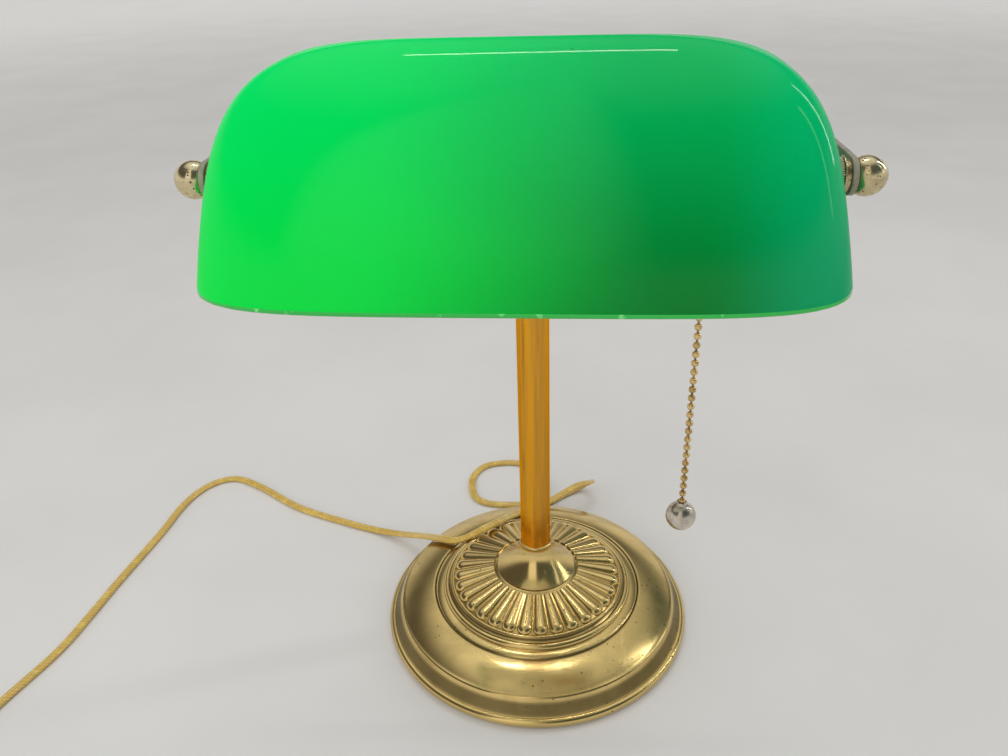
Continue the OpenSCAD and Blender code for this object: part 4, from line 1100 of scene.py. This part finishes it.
class LAMP_OT_shade(bpy.types.Operator):
    """Makes the cased glass shade with its flat seats and end holes"""

    bl_idname = "lamp.shade"
    bl_label = "Glass shade"

    def execute(self, context):
        settings = context.scene.lamp_shade
        wall = settings.wall / MM
        turns = self.even_turns(settings.sides)
        shares = self.even_shares(58)
        rings = [self.ring(turns, v, 0.0, RIM_Z + (SHADE_TOP_Z - RIM_Z) * v) for v in shares]
        edge = []
        for i in range(7):
            a = math.pi * (i + 1) / 8
            edge.append(self.ring(turns, 0.0, wall / 2 * (1 - math.cos(a)), RIM_Z + wall / 2 * (1 - math.sin(a))))
        inner = [self.ring(turns, v, wall, RIM_Z + (SHADE_TOP_Z - wall - RIM_Z) * v) for v in shares]
        start = [v for v in range(len(shares)) if (SHADE_TOP_Z - RIM_Z) * shares[v] > wall / 2][0]
        rings, inner = rings[start:], inner[start:]
        rows = [*reversed(rings), *edge, *inner]
        points, faces, picks = self.skin(rows, wall, len(rings), len(edge))
        shade = new_mesh("shade_glass", (points, faces), [
            made_material("green_glass"), made_material("white_lining"), made_material("green_edge"),
        ], 50, picks)
        self.bore(context, shade)
        finished(shade, "shade", "green_glass", "glass_shade")
        return {"FINISHED"}

    def ring(self, turns, v, wall, z):
        a = (SHADE_HALF_L - wall - 14.1 * v) * (1 - v ** 5) ** 0.2
        b = (SHADE_HALF_D - wall - 9.3 * v) * (1 - v ** 1.65) ** (1 / 1.65)
        made = []
        for t in turns:
            c, s = math.cos(t), math.sin(t)
            x = a * math.copysign(abs(c) ** 0.4, c)
            y = b * math.copysign(abs(s) ** 0.4, s)
            made.append(self.seated(Vector((x, AXIS.y + y, z)), wall))
        return made

    def seated(self, p, wall):
        """Flattens the glass round the axis, where the washers and grommets sit."""
        near = math.hypot(p.y - AXIS.y, p.z - AXIS.z)
        flat = 1 - smooth(near, 8.8 if wall else 7.6, 14.5)
        if abs(p.x) > 60 and flat > 0:
            seat = PAD_OUT_X - 4.5 * min(1.0, wall / 3)
            p.x += (math.copysign(seat, p.x) - p.x) * flat
        return p

    def even_turns(self, count):
        """Turns round the rim whose points lie evenly along it."""
        fine = [math.pi / 2 * i / 4000 for i in range(4001)]
        spots = [Vector((SHADE_HALF_L * math.cos(t) ** 0.4, SHADE_HALF_D * max(0.0, math.sin(t)) ** 0.4)) for t in fine]
        run = [0.0]
        for a, b in zip(spots, spots[1:]):
            run.append(run[-1] + (b - a).length)
        picks, k = [], 0
        for i in range(count):
            while run[k] < run[-1] * i / count:
                k += 1
            picks.append(fine[k])
        quarter = picks + [math.pi / 2]
        whole = quarter + [math.pi - t for t in reversed(quarter[:-1])]
        return whole + [math.tau - t for t in reversed(whole[1:-1])]

    def even_shares(self, count):
        """Shares of the shade's height whose rings lie evenly over its outside."""
        fine = [0.9999 * (1 - (1 - i / 3000) ** 2.5) for i in range(3001)]
        spots = [Vector((
            61 * (1 - v ** 1.65) ** (1 / 1.65), 78.3 * v, 30 * (1 - v ** 5) ** 0.2,
        )) for v in fine]
        run = [0.0]
        for a, b in zip(spots, spots[1:]):
            run.append(run[-1] + (b - a).length)
        picks, k = [], 0
        for i in range(count + 1):
            while k < 3000 and run[k] < run[-1] * i / count:
                k += 1
            picks.append(fine[k])
        return picks

    def skin(self, rows, wall, outer_rows, edge_rows):
        """Closed skin from the crown's outside, down and round the rim, up to the crown's inside."""
        count = len(rows[0])
        points = [p for row in rows for p in row]
        faces, picks = [], []
        for i in range(len(rows) - 1):
            pick = 0 if i < outer_rows - 1 else 2 if i < outer_rows + edge_rows else 1
            for k in range(count):
                on = (k + 1) % count
                faces.append((i * count + k, i * count + on, (i + 1) * count + on, (i + 1) * count + k))
                picks.append(pick)
        for row, top, pick in ((0, SHADE_TOP_Z, 0), (len(rows) - 1, SHADE_TOP_Z - wall, 1)):
            points.append(Vector((0, AXIS.y, top)))
            for k in range(count):
                faces.append((row * count + k, row * count + (k + 1) % count, len(points) - 1))
                picks.append(pick)
        return points, faces, picks

    def bore(self, context, shade):
        """Cuts the hole for the pipe through both ends."""
        rods = [turned_x([(104, 0), (104, 5.6), (116, 5.6), (116, 0)], 48, side=side) for side in (1, -1)]
        cutter = new_mesh("cutter", joined(*rods), [made_material("green_edge")])
        cut = shade.modifiers.new("bore", "BOOLEAN")
        cut.operation, cut.solver, cut.object = "DIFFERENCE", "EXACT", cutter
        cut.material_mode = "TRANSFER"
        settled(shade)
        bpy.data.objects.remove(cutter)
        shade.data.set_sharp_from_angle(angle=math.radians(50))


class LAMP_OT_hardware(bpy.types.Operator):
    """Makes the ball finials, neck spacers and knurled nuts and finishes the parts on the shade's axis"""

    bl_idname = "lamp.hardware"
    bl_label = "Finials and nuts"

    def execute(self, context):
        self.make_finials()
        self.make_spacers()
        self.make_knurls()
        dressed(made_material("brass_finial"), "seat_washers")
        dressed(made_material("black_rubber"), "grommets")
        dressed(made_material("zinc_steel"), "right_nipple", "left_stud", "inner_nuts")
        return {"FINISHED"}

    def make_finials(self):
        low, high = span("right_finial")
        r = (high.z - low.z) / 2
        centre = high.x - r
        start = math.degrees(math.asin((centre - low.x) / r))
        outside = arc(centre, 0, r, 90 + start, 0, 40)
        bore = 4.85
        profile = [(low.x, bore), (low.x, outside[0][1] - 0.25), (low.x + 0.1, outside[0][1] - 0.05), *outside[1:]]
        profile = [*profile, (centre + 3.0, 0), (centre + 3.0, bore)]
        shape = [(x, max(0.0, y)) for x, y in profile[:-2]]
        inner = [(centre + 3.0, 0.0), (centre + 3.0, bore)]
        for side, body, node in ((1, "right_finial", "right_finial"), (-1, "left_finial", "left_finial")):
            points, faces = turned_x([*inner, *shape], 64, side=side)
            ball = new_mesh(f"{node}_ball", (points, faces), [made_material("brass_finial")], 45)
            finished(ball, body, "bright_brass", node)

    def make_spacers(self):
        low, high = span("neck_spacers")
        left = span("yoke")[1].x - 2.2
        start = span("knurled_nuts")[1].x
        wide = (high.z - low.z) / 2 - 0.4
        neck = wide - 1.0
        profile = [
            (start, 4.8), (start, wide), *arc(start + 0.4, wide, 0.4, 180, 0, 8), (start + 0.8, neck),
            (start + 1.25, neck), (start + 1.35, neck - 0.22), (start + 1.55, neck - 0.22), (start + 1.65, neck),
            (start + 1.95, neck), (start + 2.05, neck - 0.22), (start + 2.25, neck - 0.22), (start + 2.35, neck),
            (left - 0.3, neck), (left, neck - 0.3), (left, 4.8),
        ]
        both = joined(*(turned_x(profile, 64, True, side) for side in (1, -1)))
        spacers = new_mesh("neck_collars", both, [made_material("brass_finial")], 35)
        finished(spacers, "stand", "antique_brass", "neck_spacers")

    def make_knurls(self):
        low, high = span("knurled_nuts")
        start, end = PAD_OUT_X + 1.05, high.x
        r = (high.z - low.z) / 2
        profile = eased([(start, 4.85), (start, r - 0.5), (end, r - 0.5), (end, 4.85)], 0.15, True)
        both = joined(*(turned_x(profile, 60, True, side) for side in (1, -1)))
        # painted shade: the nut's core between the teeth takes the dark groove copy of the brass
        nuts = new_mesh("knurled_rings", both, [made_material("knurl_grooves")], 35)
        repeated(nuts, knurl_tree(), {
            "Teeth": 48, "Core Radius": (r - 0.36) * MM, "Tooth": 0.28 * MM, "Middle": (start + end) / 2 * MM,
            "Length": (end - start - 0.3) * MM, "Material": made_material("brass_knurl"),
        }, 30)
        for face in nuts.data.polygons:
            if math.hypot(face.center.y / MM - AXIS.y, face.center.z / MM - AXIS.z) < r - 0.4:
                face.material_index = 0
        finished(nuts, "stand", "antique_brass", "knurled_nuts")


class LAMP_OT_yoke(bpy.types.Operator):
    """Makes the yoke: a flat blank with an eye at each end, bent round behind the shade"""

    bl_idname = "lamp.yoke"
    bl_label = "Yoke"

    def execute(self, context):
        low, high = span("yoke")
        thick, half_h = 2.2, (high.z - low.z) / 2
        line = self.bend_line(high.x - thick / 2, high.y - thick / 2)
        run = [0.0]
        for a, b in zip(line, line[1:]):
            run.append(run[-1] + (b - a).length)
        flat, faces = self.blank(run[-1], half_h)
        points = [(s, t, z) for t in (-thick / 2, thick / 2) for s, z in flat]
        count = len(flat)
        faces = [*faces, *[tuple(i + count for i in reversed(face)) for face in faces]]
        faces += self.walls(faces[:len(faces) // 2], count)
        blank = new_mesh("yoke_strip", (points, faces), [made_material("bronze_yoke")], 30)
        bevel = blank.modifiers.new("edges", "BEVEL")
        bevel.width, bevel.segments, bevel.limit_method, bevel.angle_limit = 0.4 * MM, 3, "ANGLE", math.radians(50)
        settled(blank)
        self.bend(blank.data, line, run)
        outwards(blank.data)
        blank.data.set_sharp_from_angle(angle=math.radians(45))
        finished(blank, "stand", "yoke_bronze", "yoke")
        return {"FINISHED"}

    def bend_line(self, xe, bar_y):
        """Middle line of the bent strip seen from above, from the right eye round to the left one."""
        lean, r = 2.0, 30.0
        half = [(xe, AXIS.y - 8), (xe, AXIS.y), (xe, AXIS.y + 8)]
        start, end = Vector((xe, AXIS.y + 8)), Vector((xe - lean, bar_y - r))
        half += [tuple(start.lerp(end, i / 10)) for i in range(1, 10)]
        half += arc(xe - lean - r, bar_y - r, r, 0, 90, 24)
        half += [((xe - lean - r) * (1 - i / 12), bar_y) for i in range(1, 13)]
        return [Vector(p) for p in half] + [Vector((-x, y)) for x, y in reversed(half[:-1])]

    def blank(self, run, half_h):
        """Flat blank as points (along, up) and faces: an eye with a hole at each end and the strip between."""
        eye, reach, rows = 8.0, 8.0, 6
        edge = [(eye + reach * (1 - i / 4), -half_h) for i in range(4)]
        edge += [(eye + half_h * math.cos(a), half_h * math.sin(a)) for a in
                 (math.radians(-90 - 180 * i / 28) for i in range(29))]
        edge += [(eye + reach * i / 4, half_h) for i in range(1, 5)]
        edge += [(eye + reach, half_h - 2 * half_h * i / rows) for i in range(1, rows)]
        points, faces, count = [], [], len(edge)
        for s, z in edge:
            away = Vector((s - eye, z))
            hole = away.normalized() * 4.85
            points += [(s, z), (eye + (away.x * 0.55 + hole.x * 0.45), away.y * 0.55 + hole.y * 0.45),
                       (eye + hole.x, hole.y)]
        for k in range(count):
            on = (k + 1) % count
            for layer in (0, 1):
                faces.append((3 * k + layer, 3 * on + layer, 3 * on + layer + 1, 3 * k + layer + 1))
        columns = 110
        seam = [3 * k for k in range(count - rows, count)] + [0]
        previous = seam
        for i in range(1, columns + 1):
            s = eye + reach + (run - 2 * (eye + reach)) * i / columns
            fresh = [len(points) + j for j in range(rows + 1)]
            points += [(s, half_h - 2 * half_h * j / rows) for j in range(rows + 1)]
            faces += [(previous[j], previous[j + 1], fresh[j + 1], fresh[j]) for j in range(rows)]
            previous = fresh
        mirror = {}
        for i in range(3 * count):
            s, z = points[i]
            mirror[i] = len(points)
            points.append((run - s, z))
        for face in faces[:2 * count]:
            faces.append(tuple(mirror[i] for i in reversed(face)))
        for j, i in enumerate(seam):
            faces = [tuple(previous[j] if v == mirror[i] else v for v in face) for face in faces]
        used = sorted({v for face in faces for v in face})
        place = {v: i for i, v in enumerate(used)}
        return [points[v] for v in used], [tuple(place[v] for v in face) for face in faces]

    def walls(self, faces, count):
        """Side walls between the two flat sides, along every open edge."""
        seen = {}
        for face in faces:
            for a, b in zip(face, face[1:] + face[:1]):
                seen[frozenset((a, b))] = seen.get(frozenset((a, b)), []) + [(a, b)]
        return [(b, a, a + count, b + count) for edges in seen.values() if len(edges) == 1 for a, b in edges]

    def bend(self, mesh, line, run):
        """Lays the flat blank along the bend line."""
        for vertex in mesh.vertices:
            s, t, z = vertex.co / MM
            s = min(max(s, 0.0), run[-1] - 1e-6)
            k = max(i for i in range(len(run) - 1) if run[i] <= s)
            share = (s - run[k]) / (run[k + 1] - run[k])
            ahead = (line[k + 1] - line[k]).normalized()
            before = (line[k] - line[max(k - 1, 0)]).normalized() if k else ahead
            after = (line[min(k + 2, len(line) - 1)] - line[k + 1]).normalized() if k + 2 < len(line) else ahead
            way = ((before + ahead) / 2).lerp((ahead + after) / 2, share).normalized()
            p = line[k].lerp(line[k + 1], share) + Vector((way.y, -way.x)) * t
            vertex.co = Vector((p.x, p.y, AXIS.z + z)) * MM


# ---------------------------------------------------------------- socket, bulb and pull chain

class LAMP_OT_socket(bpy.types.Operator):
    """Finishes the socket and the parts of its switch, and makes the bulb"""

    bl_idname = "lamp.socket"
    bl_label = "Socket and bulb"

    def execute(self, context):
        dressed(made_material("brass_socket"), "socket_cap", "socket_shell", "chain_guide")
        dressed(made_material("zinc_steel"), "cap_screw", "switch_cam")
        dressed(made_material("liner_paper"), "socket_liner")
        dressed(made_material("brown_bakelite"), "switch_body")
        dressed(made_material("brass_chain"), "terminal_screws", "screw_shell", "centre_contact")
        dressed(made_material("bulb_aluminium"), "bulb_cap")
        low, high = span("bulb_glass")
        r = (high.z - low.z) / 2
        centre, neck, wall = low.x + r, 12.6, 0.8
        reach = high.x - centre
        meet = math.degrees(math.acos(r / math.hypot(reach, neck)) + math.atan2(neck, reach))
        outside = [(high.x, 0), (high.x, neck), *arc(centre, 0, r, meet, 180, 48)]
        inside = [(high.x - wall, 0), (high.x - wall, neck - wall), *arc(centre, 0, r - wall, meet, 180, 48)]
        shells = [turned_x([(x, max(0.0, y) if y > 1e-6 else 0.0) for x, y in part], 72) for part in (outside, inside)]
        inner_points, inner_faces = shells[1]
        bulb = new_mesh("opal_bulb", shells[0], [made_material("opal_bulb")], 60)
        lining = bmesh.new()
        lining.from_mesh(bulb.data)
        made = [lining.verts.new(Vector(p) * MM) for p in inner_points]
        for face in inner_faces:
            lining.faces.new([made[i] for i in face])
        lining.faces.ensure_lookup_table()
        fresh = lining.faces[len(shells[0][1]):]
        bmesh.ops.recalc_face_normals(lining, faces=fresh)
        bmesh.ops.reverse_faces(lining, faces=fresh)
        for face in fresh:
            face.smooth = True
        lining.to_mesh(bulb.data)
        lining.free()
        finished(bulb, "stand", "bulb_white", "bulb_glass")
        return {"FINISHED"}


class LAMP_OT_chain(bpy.types.Operator):
    """Makes the pull chain, its top bead and its end ball"""

    bl_idname = "lamp.chain"
    bl_label = "Pull chain"

    def execute(self, context):
        settings = context.scene.lamp_chain
        top = middle("top_bead")
        first = Vector((top.x, top.y, top.z)) * MM - Vector((0, 0, settings.pitch))
        core_low = first.z / MM - (settings.beads - 1) * settings.pitch / MM
        core = turned([(0, core_low), (settings.pin / MM, core_low), (settings.pin / MM, first.z / MM), (0, first.z / MM)], 10)
        core = ([(x + top.x, y + top.y, z) for x, y, z in core[0]], core[1])
        chain = new_mesh("bead_chain", core, [made_material("brass_chain")])
        repeated(chain, chain_tree(), {
            "Beads": settings.beads, "Pitch": settings.pitch, "Bead Radius": settings.bead,
            "Pin Radius": settings.pin, "First Bead": first, "Material": made_material("brass_chain"),
        })
        finished(chain, "chain", "bright_brass", "pull_chain")
        dressed(made_material("brass_chain"), "top_bead", "pull_link")
        self.make_ball(top)
        return {"FINISHED"}

    def make_ball(self, top):
        low, high = span("pull_ball")
        r = (high.x - low.x) / 2
        centre = low.z + r
        mouth = 2.4
        angle = math.degrees(math.asin(mouth / r))
        profile = [*arc(0, centre, r, -90, 90 - angle, 44), (mouth, high.z - 0.3), (mouth - 0.3, high.z),
                   (1.9, high.z), (1.75, high.z - 0.8), (0, high.z - 0.9)]
        points, faces = turned([(max(0.0, a) if a > 1e-6 else 0.0, b) for a, b in profile], 64)
        ball = new_mesh("end_ball", ([(x + top.x, y + top.y, z) for x, y, z in points], faces),
                        [made_material("nickel_ball")], 45)
        finished(ball, "chain", "nickel", "pull_ball")


# ---------------------------------------------------------------- panel and registration

STEPS = (LAMP_OT_stage, LAMP_OT_cord, LAMP_OT_base, LAMP_OT_stem, LAMP_OT_shade, LAMP_OT_hardware, LAMP_OT_yoke,
         LAMP_OT_socket, LAMP_OT_chain)
SETTINGS = {
    "lamp_shade": LampShadeSettings, "lamp_base": LampBaseSettings, "lamp_brass": LampBrassSettings,
    "lamp_chain": LampChainSettings, "lamp_cord": LampCordSettings,
}


class LAMP_PT_panel(bpy.types.Panel):
    """Settings and steps of the lamp"""

    bl_idname = "LAMP_PT_panel"
    bl_label = "Bankers Lamp"
    bl_space_type = "VIEW_3D"
    bl_region_type = "UI"
    bl_category = "Lamp"

    def draw(self, context):
        for name, group in SETTINGS.items():
            box = self.layout.box()
            box.label(text=group.__doc__)
            for field in group.__annotations__:
                box.prop(getattr(context.scene, name), field)
        for step in STEPS:
            self.layout.operator(step.bl_idname)


def register():
    for kind in (*SETTINGS.values(), *STEPS, LAMP_PT_panel):
        bpy.utils.register_class(kind)
    for name, group in SETTINGS.items():
        setattr(bpy.types.Scene, name, PointerProperty(type=group))


def unregister():
    for name in SETTINGS:
        delattr(bpy.types.Scene, name)
    for kind in reversed((*SETTINGS.values(), *STEPS, LAMP_PT_panel)):
        bpy.utils.unregister_class(kind)


def main():
    """Registers the add-on and makes the stage and every piece."""
    register()
    bpy.ops.lamp.stage()
    bpy.ops.lamp.cord()
    bpy.ops.lamp.base()
    bpy.ops.lamp.stem()
    bpy.ops.lamp.shade()
    bpy.ops.lamp.hardware()
    bpy.ops.lamp.yoke()
    bpy.ops.lamp.socket()
    bpy.ops.lamp.chain()


if __name__ == "__main__":
    main()
